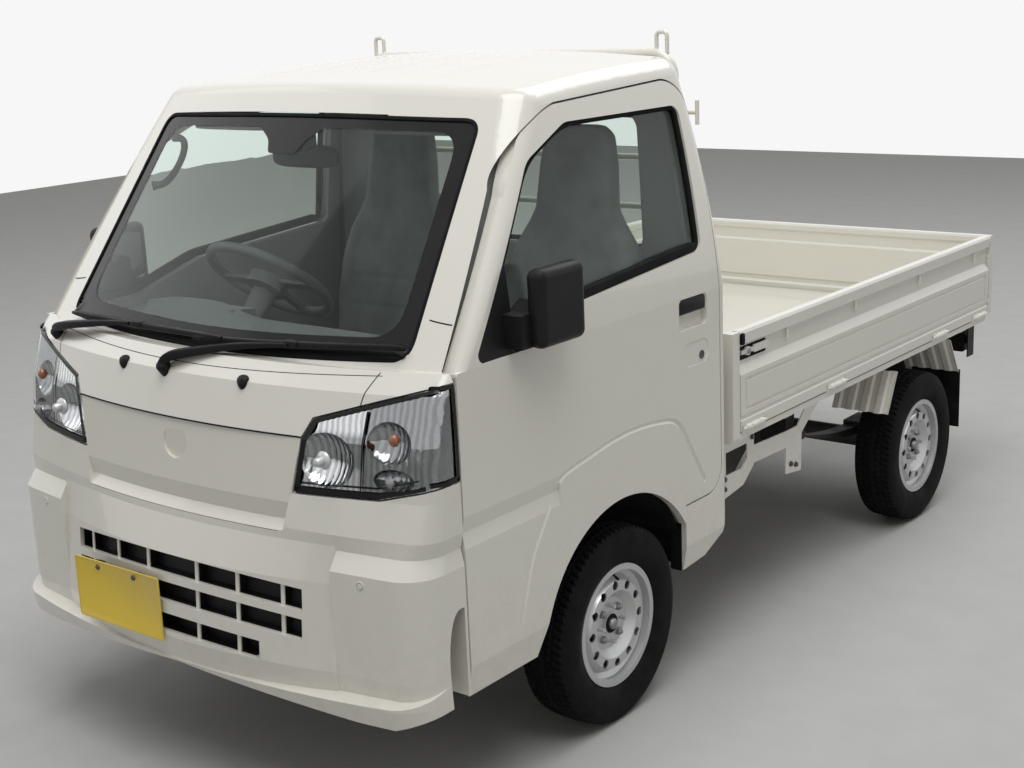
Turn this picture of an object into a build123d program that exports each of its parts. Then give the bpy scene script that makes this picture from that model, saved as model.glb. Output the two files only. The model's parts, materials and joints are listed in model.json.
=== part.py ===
from build123d import *
import math
import os

# Cab-over light truck with a drop-side bed. Millimetres, +Z up, -Y is the front, +X is the left side.
# The origin is on the ground, under the centre of the whole vehicle.
os.makedirs("parts", exist_ok=True)

# Overall sizes
LENGTH = 3395.0
WIDTH = 1475.0
HEIGHT = 1780.0
WHEELBASE = 1900.0
FRONT_OVERHANG = 897.5
TRACK = 1305.0
HALF_L = LENGTH / 2
HALF_W = WIDTH / 2
FRONT_AXLE_Y = -HALF_L + FRONT_OVERHANG
REAR_AXLE_Y = FRONT_AXLE_Y + WHEELBASE

# Clearances
PANEL_GAP = 5.0
HINGE_GAP = 6.0
SEAT_GAP = 0.3
SHAFT_GAP = 0.05

# Tyre and wheel
TYRE_R = 268.4
TYRE_W = 145.0
SHOULDER_R = 22.0
RIM_FLANGE_R = 166.0
RIM_HALF_W = 59.0
RIM_WALL = 4.0
RIM_SEAT_R = 152.0
RIM_WELL_R = 137.0
BEAD_R = RIM_SEAT_R + RIM_WALL + 0.5
WHEEL_OFFSET = 30.0
DISC_WALL = 4.0
HUB_R = 34.0
HUB_DEPTH = 52.0
SPINDLE_R = 20.0
STUD_CIRCLE = 100.0
STUD_COUNT = 4
STUD_R = 6.0
VENT_COUNT = 12
VENT_R = 12.0
VENT_CIRCLE_R = 108.0
HALF_TRACK = TRACK / 2
HUB_FACE_X = HALF_TRACK + WHEEL_OFFSET

# Steering
KINGPIN_X = 575.0
KINGPIN_TILT = 13.0
KNUCKLE_R = 34.0

# Frame rails
RAIL_X = 330.0
RAIL_W = 60.0
RAIL_H = 100.0
FRONT_RAIL_Z = 285.0
REAR_RAIL_Z = 455.0
RAIL_FRONT_Y = -1560.0
RAIL_REAR_Y = 1600.0
KICK_START_Y = 380.0
KICK_END_Y = 620.0

# Cab heights and walls
SILL_Z = 322.0
FLOOR_Z = 400.0
COWL_TOP_Z = 1092.0
ROOF_Z = 1737.0
DOOR_WALL = 52.0
ROOF_WALL = 34.0
REAR_WALL = 38.0
FRONT_WALL = 34.0
CAB_REAR_Y = -272.0
DOOR_FRONT_Y = -1432.0

# Bed
BED_FLOOR_Z = 675.0
BED_FLOOR_T = 18.0
GATE_TOP_Z = 940.0
GATE_HINGE_Z = 652.0
GATE_T = 32.0
PIN_R = 6.0
GATE_OUTER_X = HALF_W - PIN_R - 0.5
SIDE_HINGE_X = HALF_W - PIN_R
BED_FRONT_Y = -232.0
TAIL_OUTER_Y = HALF_L - PIN_R - 0.5
TAIL_HINGE_Y = HALF_L - PIN_R

WHEELS = [("front_left", 1, FRONT_AXLE_Y), ("front_right", -1, FRONT_AXLE_Y),
          ("rear_left", 1, REAR_AXLE_Y), ("rear_right", -1, REAR_AXLE_Y)]

SPINDLE_END_X = HUB_FACE_X + 4.0
KNUCKLE_FACE_X = HUB_FACE_X - HUB_DEPTH - 3.0
STRUT_R = 25.0
BALL_DROP = 80.0
BALL_GAP = 0.5

SPRING_X = 480.0
SPRING_HALF = 480.0
LEAF_W = 50.0
LEAF_T = 7.0
LEAF_COUNT = 4

CAB_MOUNT_FRONT_Y = -1330.0
CAB_MOUNT_REAR_Y = -345.0

# Plan sections of the upper cab, from the belt line up. Columns: height, front at the centre line,
# how far the front sweeps back by the side, half width, front corner radius, rear wall, rear corner radius
UPPER_SECTIONS = [
    (COWL_TOP_Z, -1528.0, 108.0, HALF_W, 35.0, CAB_REAR_Y, 30.0),
    (1350.0, -1340.0, 100.0, 707.0, 58.0, CAB_REAR_Y - 12, 52.0),
    (1750.0, -1049.0, 84.0, 621.0, 92.0, CAB_REAR_Y - 40, 84.0),
]

# The front end, same columns without the rear ones: the lower band with the cowl panel above it
FRONT_SECTIONS = [
    (280.0, -1668.0, 120.0, HALF_W, 90.0),
    (400.0, -HALF_L, 158.0, HALF_W, 90.0),
    (611.0, -1683.0, 160.0, HALF_W, 90.0),
    (700.0, -1654.0, 118.0, HALF_W, 80.0),
    (728.0, -1650.0, 100.0, HALF_W, 70.0),
    (815.0, -1637.0, 108.0, HALF_W, 60.0),
    (938.0, -1627.0, 112.0, HALF_W, 55.0),
    (1048.0, -1597.0, 118.0, HALF_W - 2, 45.0),
    (COWL_TOP_Z, -1556.0, 118.0, HALF_W - 4, 38.0),
]

# The raised corners of the bumper, then the groove over them
CORNER_SECTIONS = [
    (280.0, -1640.0, 62.0, HALF_W, 95.0),
    (400.0, -1652.0, 62.0, HALF_W, 95.0),
    (649.0, -1656.0, 66.0, HALF_W, 95.0),
    (690.0, -1632.0, 72.0, HALF_W - 9, 84.0),
    (728.0, -1650.0, 100.0, HALF_W, 70.0),
]

# The lip along the bumper's foot
LIP_SECTIONS = [
    (280.0, -1664.0, 62.0, HALF_W, 95.0),
    (345.0, -1690.0, 75.0, HALF_W, 100.0),
    (460.0, -1690.0, 75.0, HALF_W, 100.0),
]

# The panel between the lamps, over its groove
FASCIA_SECTIONS = [
    (718.0, -1650.0, 100.0, HALF_W, 70.0),
    (742.0, -1631.0, 100.0, HALF_W, 70.0),
    (787.0, -1640.0, 99.0, HALF_W, 60.0),
    (880.0, -1628.0, 99.0, HALF_W, 55.0),
    (945.0, -1620.0, 99.0, HALF_W, 55.0),
]

# The hollow behind the front end
INNER_SECTIONS = [
    (250.0, -1630.0, 120.0, HALF_W - 14, 60.0),
    (611.0, -1640.0, 130.0, HALF_W - 14, 60.0),
    (742.0, -1612.0, 110.0, HALF_W - 22, 50.0),
    (938.0, -1596.0, 110.0, HALF_W - 14, 45.0),
    (1048.0, -1572.0, 114.0, HALF_W - 22, 35.0),
    (COWL_TOP_Z, -1534.0, 114.0, HALF_W - 24, 30.0),
]
FASCIA_OUTLINE = [(-413.0, 941.0), (-386.0, 880.0), (-356.0, 722.0), (-338.0, 716.0),
                  (338.0, 716.0), (356.0, 722.0), (386.0, 880.0), (413.0, 941.0)]
CORNER_X = 497.0
CORNER_TOP_Z = 728.0
LIP_Z = 350.0
LIP_SLOPE = 0.26
LIP_Y = -1634.0
FOOT_OUTLINE = [(-740.0, 322.0), (-662.0, 296.0), (-560.0, 296.0), (-370.0, 308.0), (0.0, 330.0),
                (370.0, 308.0), (560.0, 296.0), (662.0, 296.0), (740.0, 322.0)]
LAMP_OUTLINE = [(380.0, 812.0), (405.0, 938.0), (430.0, 984.0), (600.0, 1034.0), (760.0, 1078.0),
                (760.0, 856.0), (606.0, 818.0)]

# The lamp's reflector bowls. Columns: centre x, y, z, radius in x, in depth, in z
LAMP_BOWLS = [
    (478.0, -1608.0, 898.0, 84.0, 62.0, 72.0),
    (632.0, -1560.0, 950.0, 62.0, 52.0, 56.0),
    (640.0, -1550.0, 862.0, 52.0, 40.0, 26.0),
]
BADGE_R = 42.0
BADGE_Z = 883.0
BADGE_Y = -1628.0
BADGE_DEPTH = 4.0

ROOF_CROWN_R = 7200.0
ROOF_ARC_R = 6500.0
ROOF_PEAK_Y = -340.0

LOWER_FRONT_Y = DOOR_FRONT_Y - PANEL_GAP
REAR_CORNER_R = 30.0

ROOF_EDGE_R = 62.0

ARCH_R = 357.0
ARCH_REAR_Y = FRONT_AXLE_Y + 300.0
ARCH_FRONT_Y = FRONT_AXLE_Y - 375.0

# The side's creases: a wide one along the front of the door, and a narrow one round the arch flare
CREASE_Z = (764.0, 722.0, 680.0)
CREASE_DEPTH = 8.0
CREASE_END_Y = -1068.0
FLARE_LINE = [(-1240.0, 440.0), (-1188.0, 590.0), (-1068.0, 756.0), (-742.0, 806.0), (-530.0, 768.0),
              (-396.0, 560.0)]
FLARE_BENDS = [260.0, 90.0, 900.0, 110.0]
FLARE_HALF = 9.0
FLARE_DEPTH = 5.0
TUCK_Z = 397.0
TUCK_IN = 12.0
REAR_FOOT = [(-272.0, 470.0), (-302.0, 380.0), (-390.0, 336.0), (-560.0, 322.0)]

# Door handle and key pad, on the side surface. Columns: y from, y to, z from, z to, corner radius, depth
HANDLE_PAN = (-520.0, -380.0, 1004.0, 1090.0, 14.0, 18.0)
KEY_PAD = (-501.0, -373.0, 900.0, 967.0, 30.0, 1.5)
PADDLE_LOW_Z = 1050.0
PADDLE_DEPTH = 4.0
PADDLE_T = 6.0

# Ribs pressed into the roof
RIB_X = (60.0, 180.0, 310.0)
RIB_FRONT_Y = -1000.0
RIB_REAR_Y = -372.0
RIB_RISE = 4.0
RIB_R = 44.0

REAR_WINDOW = (490.0, 1170.0, 1560.0)
GLASS_T = 5.0

SIDE_PAST = 80.0
SKIN_T = 14.0
DOOR_RETURN = 12.0
SWING_GAP = 14.0
SCUTTLE_T = 22.0

NOSE_REAR_Y = DOOR_FRONT_Y - PANEL_GAP
COWL_T = 20.0
BUMPER_T = 12.0
COWL_LOW_Z = 939.0
SHUT_GAP = 4.0
BUMPER_JOIN_Z = 700.0

# The grille's rows. Columns: low and high at the centre, half width
GRILLE_ROWS = [(411.0, 457.0, 290.0), (488.0, 538.0, 410.0), (558.0, 611.0, 412.0)]
GRILLE_DROP = 21.0
GRILLE_DROP_X = 412.0
GRILLE_BARS = (90.0, 221.0, 352.0)
BAR_HALF = 5.0
BAR_INSET = 9.0
INSERT_T = 8.0

LENS_T = 4.0
LENS_GAP = 0.3
FLANGE_X = 640.0
WIPER_RUNS = [((-95.0, -1543.0, 1108.0), (250.0, -1508.0, 1122.0), (590.0, -1450.0, 1139.0)),
              ((-588.0, -1470.0, 1110.0), (-320.0, -1506.0, 1117.0), (-40.0, -1523.0, 1119.0))]
WIPER_R = 7.0
WIPER_BEND = 400.0
WIPER_FOOT_Z = COWL_TOP_Z + SEAT_GAP

SEAT_X = 330.0
SEAT_HALF = 235.0
SEAT_DECK_Z = 640.0
CUSHION_T = 150.0

# The backrest up to the top of the head restraint. Columns: height, front, depth, half width, corner radius
BACK_SECTIONS = [
    (705.0, -545.0, 130.0, 225.0, 50.0),
    (1000.0, -500.0, 128.0, 240.0, 55.0),
    (1200.0, -462.0, 112.0, 205.0, 50.0),
    (1290.0, -448.0, 98.0, 140.0, 45.0),
    (1420.0, -428.0, 92.0, 128.0, 44.0),
    (1535.0, -410.0, 66.0, 104.0, 32.0),
]
DECK_T = 12.0
FOOT_REAR_Y = -1135.0
FLOOR_HALF_W = HALF_W - DOOR_WALL - PANEL_GAP - 2
WHEELHOUSE_X = 410.0

STEER_X = 340.0
STEER_Y = -965.0
STEER_Z = 1136.0
STEER_TILT = 50.0
STEER_R = 180.0

FLOOR_END_Y = TAIL_OUTER_Y - GATE_T - 2.0
POST_END_Y = BED_FRONT_Y + 38.0
SIDE_GATE_FRONT_Y = POST_END_Y + HINGE_GAP
SIDE_GATE_REAR_Y = TAIL_OUTER_Y - GATE_T - HINGE_GAP
GATE_LOW_Z = 646.0
BED_IN_X = GATE_OUTER_X - GATE_T - 4.0

SIDE_HINGES = (-112.0, 412.0, 1216.0, 1575.0)
TAIL_HINGES = (-560.0, -190.0, 190.0, 560.0)
KNUCKLE_HALF = 24.0
KNUCKLE_END = 66.0
HINGE_STEP = 0.5
HINGE_REACH = 12.0

BEAM_LOW_Z = 590.0
BEAM_TAIL_Z = 606.0
BED_SILL_Z = 610.0
LIP_X = GATE_OUTER_X - 4.0
TAIL_LIP_Y = TAIL_OUTER_Y - 4.0
GUARD_Y = -250.0
GUARD_X = 560.0
GUARD_R = 16.0
HOOK_X = 526.0
HOOK_HALF = 17.0
HOOK_R = 6.0
TEE_X = 636.0
TEE_Z = (1524.0, 1590.0)

# Gate details: the pressed frame round the panel, rope hooks in the band and the latch by the cab
FRAME_IN = 26.0
FRAME_W = 10.0
FRAME_DEPTH = 3.0
FRAME_Z = (703.0, 800.0)
ROPE_HOOKS = (97.0, 551.0, 1042.0, 1523.0)
ROPE_HOOK_Z = (862.0, 892.0)
ROPE_HOOK_R = 5.0
LATCH_Y = (-172.0, -20.0)
LATCH_Z = (864.0, 886.0)
BAND_IN = 13.0

# Mudguards of the rear wheels. Columns: y and z at the top, y and z at the foot
GUARD_X_IN = 520.0
GUARD_FRONT = (872.0, BEAM_LOW_Z - SEAT_GAP, 800.0, 456.0)
GUARD_REAR = (1318.0, BED_SILL_Z - SEAT_GAP, 1402.0, 474.0)
GUARD_T = 4.0
WAVE_DEPTH = 8.0
WAVE_PITCH = 46.0
FLAP_T = 5.0
FLAP_Z = (262.0, 480.0)

# Plates and brackets under the left sill, as outlines of (y, z)
BRACKET_X = 680.0
BRACKET_T = 4.0
SIDE_PLATE = [(-221.0, 609.7), (-32.0, 609.7), (-32.0, 502.0), (-96.0, 454.0), (-221.0, 438.0)]
SIDE_PLATE_HOLE = [(-196.0, 577.0), (-72.0, 577.0), (-72.0, 532.0), (-106.0, 508.0), (-196.0, 508.0)]
STAY = [(300.0, 609.7), (402.0, 609.7), (344.0, 575.0), (268.0, 524.0), (264.0, 402.0), (165.0, 415.0),
        (165.0, 500.0),
        (-32.0, 505.0), (-32.0, 560.0), (164.0, 552.0), (240.0, 552.0)]

# Tail lamps and the plates beside them
LAMP_X = (460.0, 664.0)
LAMP_Z = (500.0, 592.0)
LAMP_DEPTH = 62.0

# Door mirrors, folded back along the windows
MIRROR_AT = (792.0, -1130.0, 1200.0)
MIRROR_SIZE = (52.0, 175.0, 185.0)
MIRROR_EDGE_R = 22.0
SAIL_IN = 2.0
SAIL_T = 13.0
SAIL_REAR_Y = -1217.0
ARM_OUTLINE = [(-1250.0, 1112.0), (-1250.0, 1190.0), (-1215.0, 1192.0), (-1174.0, 1214.0),
               (-1150.0, 1202.0), (-1150.0, 1112.0)]
ARM_X = (718.0, 782.0)


def save(node, *solids):
    """Writes one node as a STEP file."""
    shape = solids[0] if len(solids) == 1 else Compound(children=list(solids))
    shape.label = node
    export_step(shape, f"parts/{node}.step")


def mirrored(solid):
    """The same solid on the other side of the truck."""
    return solid.mirror(Plane.YZ)


def block(x0, x1, y0, y1, z0, z1):
    """A rectangular block between two corners."""
    size = (x1 - x0, y1 - y0, z1 - z0)
    return Pos((x0 + x1) / 2, (y0 + y1) / 2, (z0 + z1) / 2) * Box(*size)


def side_plate(points, x0, x1):
    """An outline of (y, z) points, straight between them, from x0 to x1."""
    face = make_face(Polyline(*[(x0, y, z) for y, z in points], close=True))
    return extrude(face, amount=x1 - x0, dir=(1, 0, 0))


def cross_bar(points, y0, y1):
    """An outline of (x, z) points, straight between them, from y0 to y1."""
    face = make_face(Polyline(*[(x, y0, z) for x, z in points], close=True))
    return extrude(face, amount=y1 - y0, dir=(0, 1, 0))


def rod_x(r, x0, x1, y, z):
    """A round bar along X."""
    return Pos((x0 + x1) / 2, y, z) * Rot(0, 90, 0) * Cylinder(r, x1 - x0)


def rod_y(r, y0, y1, x, z):
    """A round bar along Y."""
    return Pos(x, (y0 + y1) / 2, z) * Rot(90, 0, 0) * Cylinder(r, y1 - y0)


def tube(points, bend, r, wall=0):
    """A round tube along a path of runs joined by arcs."""
    path = FilletPolyline(*points, radius=bend) if len(points) > 2 else Line(*points)
    section = Plane(origin=path @ 0, z_dir=path % 0) * Circle(r)
    if wall:
        section = section - Plane(origin=path @ 0, z_dir=path % 0) * Circle(r - wall)
    return sweep(section, path=path)


# Tyres and wheels


def turned(points, arcs=()):
    """Turns a profile of (radius, x) points about the wheel's X axis; arcs lists the points that are mid-arc."""
    edges = []
    count = len(points)
    index = 0
    while index < count:
        start = points[index]
        following = (index + 1) % count
        if following in arcs:
            end = points[(index + 2) % count]
            middle = points[following]
            edges.append(ThreePointArc((start[1], 0, start[0]), (middle[1], 0, middle[0]),
                                       (end[1], 0, end[0])))
            index += 2
        else:
            end = points[following]
            edges.append(Line((start[1], 0, start[0]), (end[1], 0, end[0])))
            index += 1
    return revolve(make_face(Curve() + edges), Axis.X, 360)


def tyre():
    """A radial tyre about the X axis, hollow inside, its beads on the rim's seats."""
    half = TYRE_W / 2
    wall = 10.0
    crown = TYRE_R - SHOULDER_R
    bead_x = RIM_HALF_W - RIM_WALL - SEAT_GAP
    outer = [(BEAD_R, -bead_x), (RIM_FLANGE_R + 1, -bead_x), (RIM_FLANGE_R + 12, -half + 6),
             (RIM_FLANGE_R + 36, -half), (crown, -half + 2),
             (TYRE_R - 6, -half + 10), (TYRE_R - 3, -half + SHOULDER_R), (TYRE_R, 0),
             (TYRE_R - 3, half - SHOULDER_R),
             (TYRE_R - 6, half - 10), (crown, half - 2), (RIM_FLANGE_R + 36, half),
             (RIM_FLANGE_R + 12, half - 6),
             (RIM_FLANGE_R + 1, bead_x), (BEAD_R, bead_x)]
    inner = [(BEAD_R, bead_x - wall), (RIM_FLANGE_R + 36, half - wall),
             (TYRE_R - wall - 6, half - wall - 14),
             (TYRE_R - wall - 6, -half + wall + 14), (RIM_FLANGE_R + 36, -half + wall),
             (BEAD_R, -bead_x + wall)]
    return turned(outer + inner, arcs=(7,))


def rim():
    """A pressed steel wheel: a barrel with two flanges, and a dished disc with round vents on its hub."""
    w = RIM_HALF_W
    t = RIM_WALL
    seat = RIM_SEAT_R
    well = RIM_WELL_R
    barrel = turned([(RIM_FLANGE_R, -w), (RIM_FLANGE_R, -w + t), (seat + t, -w + t), (seat, -w + 24),
                     (well, -w + 34),
                     (well, w - 32), (seat, w - 22), (seat + t, w - t), (RIM_FLANGE_R, w - t),
                     (RIM_FLANGE_R, w),
                     (seat - t + 2, w), (seat - t, w - 22), (well - t, w - 30), (well - t, -w + 32),
                     (seat - t, -w + 22),
                     (seat - t + 2, -w)])
    face = WHEEL_OFFSET
    d = DISC_WALL
    ridge = face + 22
    disc = turned([(HUB_R - 4, face), (70, face), (92, ridge), (118, ridge), (well - 1, face - 6),
                   (well - 1, face - 12),
                   (116, ridge - d), (94, ridge - d), (73, face - d), (HUB_R - 4, face - d)])
    hub = turned([(SPINDLE_R + SHAFT_GAP, face - HUB_DEPTH), (HUB_R, face - HUB_DEPTH), (HUB_R, face - 12),
                  (66, face - 12),
                  (66, face - d), (HUB_R - 4, face - d), (HUB_R - 4, face + 6),
                  (SPINDLE_R + SHAFT_GAP, face + 6)])
    wheel = barrel + disc + hub
    vents = [Rot(i * 360 / VENT_COUNT, 0,
                 0) * Pos(ridge, 0, VENT_CIRCLE_R) * Rot(0, 90, 0) * Cylinder(VENT_R, 40)
             for i in range(VENT_COUNT)]
    wheel = wheel - vents
    studs = [Rot(i * 360 / STUD_COUNT, 0, 0) * Pos(face + 6, 0,
                                                   STUD_CIRCLE / 2) * Rot(0, 90, 0) * Cylinder(STUD_R, 26)
             for i in range(STUD_COUNT)]
    return wheel + studs


def place_wheel(shape, side, axle_y):
    """Puts a wheel made for the left side on its axle, mirrored on the right."""
    placed = Pos(HALF_TRACK, axle_y, TYRE_R) * shape
    return placed if side > 0 else mirrored(placed)


def make_wheels():
    one_tyre = tyre()
    one_rim = rim()
    for name, side, axle_y in WHEELS:
        save(f"tyre_{name}", place_wheel(one_tyre, side, axle_y))
        save(f"rim_{name}", place_wheel(one_rim, side, axle_y))


# Steering knuckles, front suspension, rear axle and springs


def kingpin_x(z):
    """The tilted steering axis: its X at a height."""
    return KINGPIN_X - (z - TYRE_R) * math.tan(math.radians(KINGPIN_TILT))


def knuckle():
    """The left steering knuckle: spindle, upright body, backing plate and the strut's lower tube."""
    spindle = rod_x(SPINDLE_R, KNUCKLE_FACE_X - 20, SPINDLE_END_X, FRONT_AXLE_Y, TYRE_R)
    plate = rod_x(88, KNUCKLE_FACE_X - 8, KNUCKLE_FACE_X - 3, FRONT_AXLE_Y, TYRE_R)
    low = TYRE_R - BALL_DROP
    high = TYRE_R + 110
    body_line = [(kingpin_x(low), FRONT_AXLE_Y, low), (kingpin_x(high), FRONT_AXLE_Y, high)]
    body = tube(body_line, 0, 28)
    boss = rod_x(KNUCKLE_R, KINGPIN_X, KNUCKLE_FACE_X - 3, FRONT_AXLE_Y, TYRE_R)
    arm = tube([(kingpin_x(low + 20), FRONT_AXLE_Y, low + 20),
                (kingpin_x(low) - 14, FRONT_AXLE_Y + 120, low + 20)], 0, 11)
    return spindle + plate + body + boss + arm


def front_suspension():
    """Crossmember, lower arms with their ball joints and the struts up to the wheel houses."""
    beam = block(-RAIL_X + RAIL_W / 2, RAIL_X - RAIL_W / 2, FRONT_AXLE_Y - 50, FRONT_AXLE_Y + 50, 232, 300)
    parts = [beam]
    for side in (1, -1):
        ball_z = TYRE_R - BALL_DROP
        ball_x = kingpin_x(ball_z)
        arm = tube([(290, FRONT_AXLE_Y, 250), (ball_x, FRONT_AXLE_Y, ball_z - 34)], 0, 13)
        seat_top = ball_z - BALL_GAP
        seat = tube([(kingpin_x(ball_z - 36), FRONT_AXLE_Y, ball_z - 36),
                     (kingpin_x(seat_top), FRONT_AXLE_Y, seat_top)], 0, 18)
        top = TYRE_R + 110 + BALL_GAP
        deck = SEAT_DECK_Z - DECK_T - SEAT_GAP
        strut = tube([(kingpin_x(top), FRONT_AXLE_Y, top), (kingpin_x(deck - 15), FRONT_AXLE_Y, deck - 15)],
                     0, STRUT_R)
        strut += Pos(kingpin_x(deck), FRONT_AXLE_Y, deck - 12) * Cylinder(60, 24)
        rod = tube([(230, FRONT_AXLE_Y - 300, 300), (ball_x - 60, FRONT_AXLE_Y - 4, ball_z - 28)], 0, 10)
        group = [arm + seat + rod, strut]
        parts += group if side > 0 else [mirrored(piece) for piece in group]
    return parts


def rear_axle():
    """Axle tube with its differential, brake drums, spindle ends and two leaf springs."""
    drum_face_x = HUB_FACE_X - HUB_DEPTH - 3
    axle = rod_x(34, -drum_face_x, drum_face_x, REAR_AXLE_Y, TYRE_R)
    axle += Pos(0, REAR_AXLE_Y, TYRE_R) * Sphere(112)
    axle += rod_y(48, REAR_AXLE_Y - 200, REAR_AXLE_Y - 60, 0, TYRE_R)
    axle += rod_x(SPINDLE_R, -SPINDLE_END_X, SPINDLE_END_X, REAR_AXLE_Y, TYRE_R)
    for side in (1, -1):
        drum = rod_x(112, drum_face_x - 60, drum_face_x, REAR_AXLE_Y, TYRE_R)
        axle += drum if side > 0 else mirrored(drum)
        axle += leaf_spring(side * SPRING_X)
    return axle


def leaf_spring(x):
    """A stack of curved leaves on the axle, with an eye at each end of the longest."""
    z = TYRE_R + 34
    stack = None
    for i in range(LEAF_COUNT):
        half = SPRING_HALF * (1 - 0.2 * i)
        rise = 70.0 * (half / SPRING_HALF) ** 2
        low = z + (LEAF_COUNT - 1 - i) * LEAF_T
        top = [(-half, low + rise + LEAF_T), (0, low + LEAF_T), (half, low + rise + LEAF_T)]
        under = [(half, low + rise), (0, low), (-half, low + rise)]
        at = [(x - LEAF_W / 2, REAR_AXLE_Y + y, h) for y, h in top + under]
        edges = [ThreePointArc(*at[0:3]), Line(at[2], at[3]), ThreePointArc(*at[3:6]), Line(at[5], at[0])]
        leaf = extrude(make_face(Curve() + edges), amount=LEAF_W, dir=(1, 0, 0))
        stack = leaf if stack is None else stack + leaf
    eye_z = z + LEAF_COUNT * LEAF_T + 70
    for end in (-1, 1):
        stack += rod_x(16, x - LEAF_W / 2, x + LEAF_W / 2, REAR_AXLE_Y + end * SPRING_HALF, eye_z)
    stack += block(x - 34, x + 34, REAR_AXLE_Y - 60, REAR_AXLE_Y + 60, TYRE_R + 20,
                   z + LEAF_COUNT * LEAF_T + 12)
    return stack


# Ladder frame


def ladder_frame():
    """Two box rails that rise over the rear axle, joined by cross members, with the spring hangers."""
    half = RAIL_H / 2
    outline = [(RAIL_FRONT_Y, FRONT_RAIL_Z), (KICK_START_Y, FRONT_RAIL_Z), (KICK_END_Y, REAR_RAIL_Z),
               (RAIL_REAR_Y, REAR_RAIL_Z)]
    upper = [(y, z + RAIL_H) for y, z in reversed(outline)]
    frame = None
    for side in (1, -1):
        x = side * RAIL_X
        rail = side_plate(outline + upper, x - RAIL_W / 2, x + RAIL_W / 2)
        frame = rail if frame is None else frame + rail
    for y, z in ((RAIL_FRONT_Y + 60, FRONT_RAIL_Z), (-250, FRONT_RAIL_Z),
                 (KICK_START_Y - 120, FRONT_RAIL_Z),
                 (KICK_END_Y + 60, REAR_RAIL_Z), (RAIL_REAR_Y - 60, REAR_RAIL_Z)):
        frame += block(-RAIL_X, RAIL_X, y - 30, y + 30, z + 15, z + RAIL_H - 15)
    hanger_x = SPRING_X - LEAF_W / 2 - SEAT_GAP
    for y in (REAR_AXLE_Y - SPRING_HALF, REAR_AXLE_Y + SPRING_HALF):
        hanger = block(RAIL_X + RAIL_W / 2 - 4, hanger_x, y - 30, y + 30, 370, REAR_RAIL_Z + RAIL_H)
        frame += hanger
        frame += mirrored(hanger)
    rail_top = FRONT_RAIL_Z + RAIL_H
    for y, z in ((CAB_MOUNT_FRONT_Y, FLOOR_Z - DECK_T), (CAB_MOUNT_REAR_Y, SEAT_DECK_Z - DECK_T)):
        mount = block(RAIL_X - 25, RAIL_X + 25, y - 25, y + 25, rail_top - 1, z - SEAT_GAP)
        frame += mount
        frame += mirrored(mount)
    return frame


# Forms of the cab and the front end


def plan_face(z, front, sag, half, corner, rear, rear_corner):
    """One plan section: a bowed front, rounded front corners, straight sides and a flat rear."""
    side_y = front + sag
    edges = [ThreePointArc((-half, side_y, z), (0, front, z), (half, side_y, z)),
             Line((half, side_y, z), (half, rear, z)),
             Line((half, rear, z), (-half, rear, z)), Line((-half, rear, z), (-half, side_y, z))]
    face = make_face(Curve() + edges)
    by_y = face.vertices().sort_by(Axis.Y)
    face = fillet(by_y[0:2], corner)
    if rear_corner:
        face = fillet(face.vertices().sort_by(Axis.Y)[-2:], rear_corner)
    return face


def upper_form(side_in=0.0, front_in=0.0, rear_in=0.0):
    """The cab above the belt line, before its roof is cut, taken in by a wall on each side."""
    faces = [plan_face(z, front + front_in, sag, half - side_in, max(corner - front_in / 2, 5),
                       rear - rear_in, rear_corner)
             for z, front, sag, half, corner, rear, rear_corner in UPPER_SECTIONS]
    return loft(faces)


def roof_tool(drop=0.0):
    """The space under the roof skin: a side profile turned about a far-off lengthwise axis, for its crown."""
    z = ROOF_Z - drop
    mid = z - (ROOF_PEAK_Y + 900) ** 2 / (2 * ROOF_ARC_R)
    front = z - (ROOF_PEAK_Y + 1600) ** 2 / (2 * ROOF_ARC_R)
    rear = z - (ROOF_PEAK_Y + 200) ** 2 / (2 * ROOF_ARC_R)
    profile = [ThreePointArc((0, -1600, front), (0, -900, mid), (0, -200, rear)),
               Line((0, -200, rear), (0, -200, 200)),
               Line((0, -200, 200), (0, -1600, 200)), Line((0, -1600, 200), (0, -1600, front))]
    axis = Axis((0, 0, ROOF_Z - ROOF_CROWN_R), (0, 1, 0))
    face = make_face(Curve() + profile).rotate(axis, -7)
    return revolve(face, axis, 14)


def lower_form(side_in=0.0, front_in=0.0, rear_in=0.0):
    """The cab from the sill to the belt line."""
    face = make_face(Polyline((-HALF_W + side_in, LOWER_FRONT_Y + front_in, SILL_Z),
                              (HALF_W - side_in, LOWER_FRONT_Y + front_in, SILL_Z),
                              (HALF_W - side_in, CAB_REAR_Y - rear_in, SILL_Z),
                              (-HALF_W + side_in, CAB_REAR_Y - rear_in, SILL_Z), close=True))
    face = fillet(face.vertices().sort_by(Axis.Y)[-2:], REAR_CORNER_R)
    return extrude(face, amount=COWL_TOP_Z - SILL_Z, dir=(0, 0, 1))


def cab_form():
    """The outer form of the cab, its roof edge rounded."""
    top = upper_form() & roof_tool()
    rim_edges = [e for e in top.edges() if e.center().Z > 1600]
    top = fillet(rim_edges, ROOF_EDGE_R)
    low = lower_form() - rear_foot_tool()
    tuck = tuck_tool()
    low = low - [tuck, mirrored(tuck)]
    ribs = [roof_rib(side * x) for x in RIB_X for side in (1, -1)]
    return top + low + ribs


def roof_height(x, y):
    """The height of the roof's surface, crowned across and along."""
    along = (y - ROOF_PEAK_Y) ** 2 / (2 * ROOF_ARC_R)
    across = x ** 2 / (2 * ROOF_CROWN_R)
    return ROOF_Z - along - across


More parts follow.
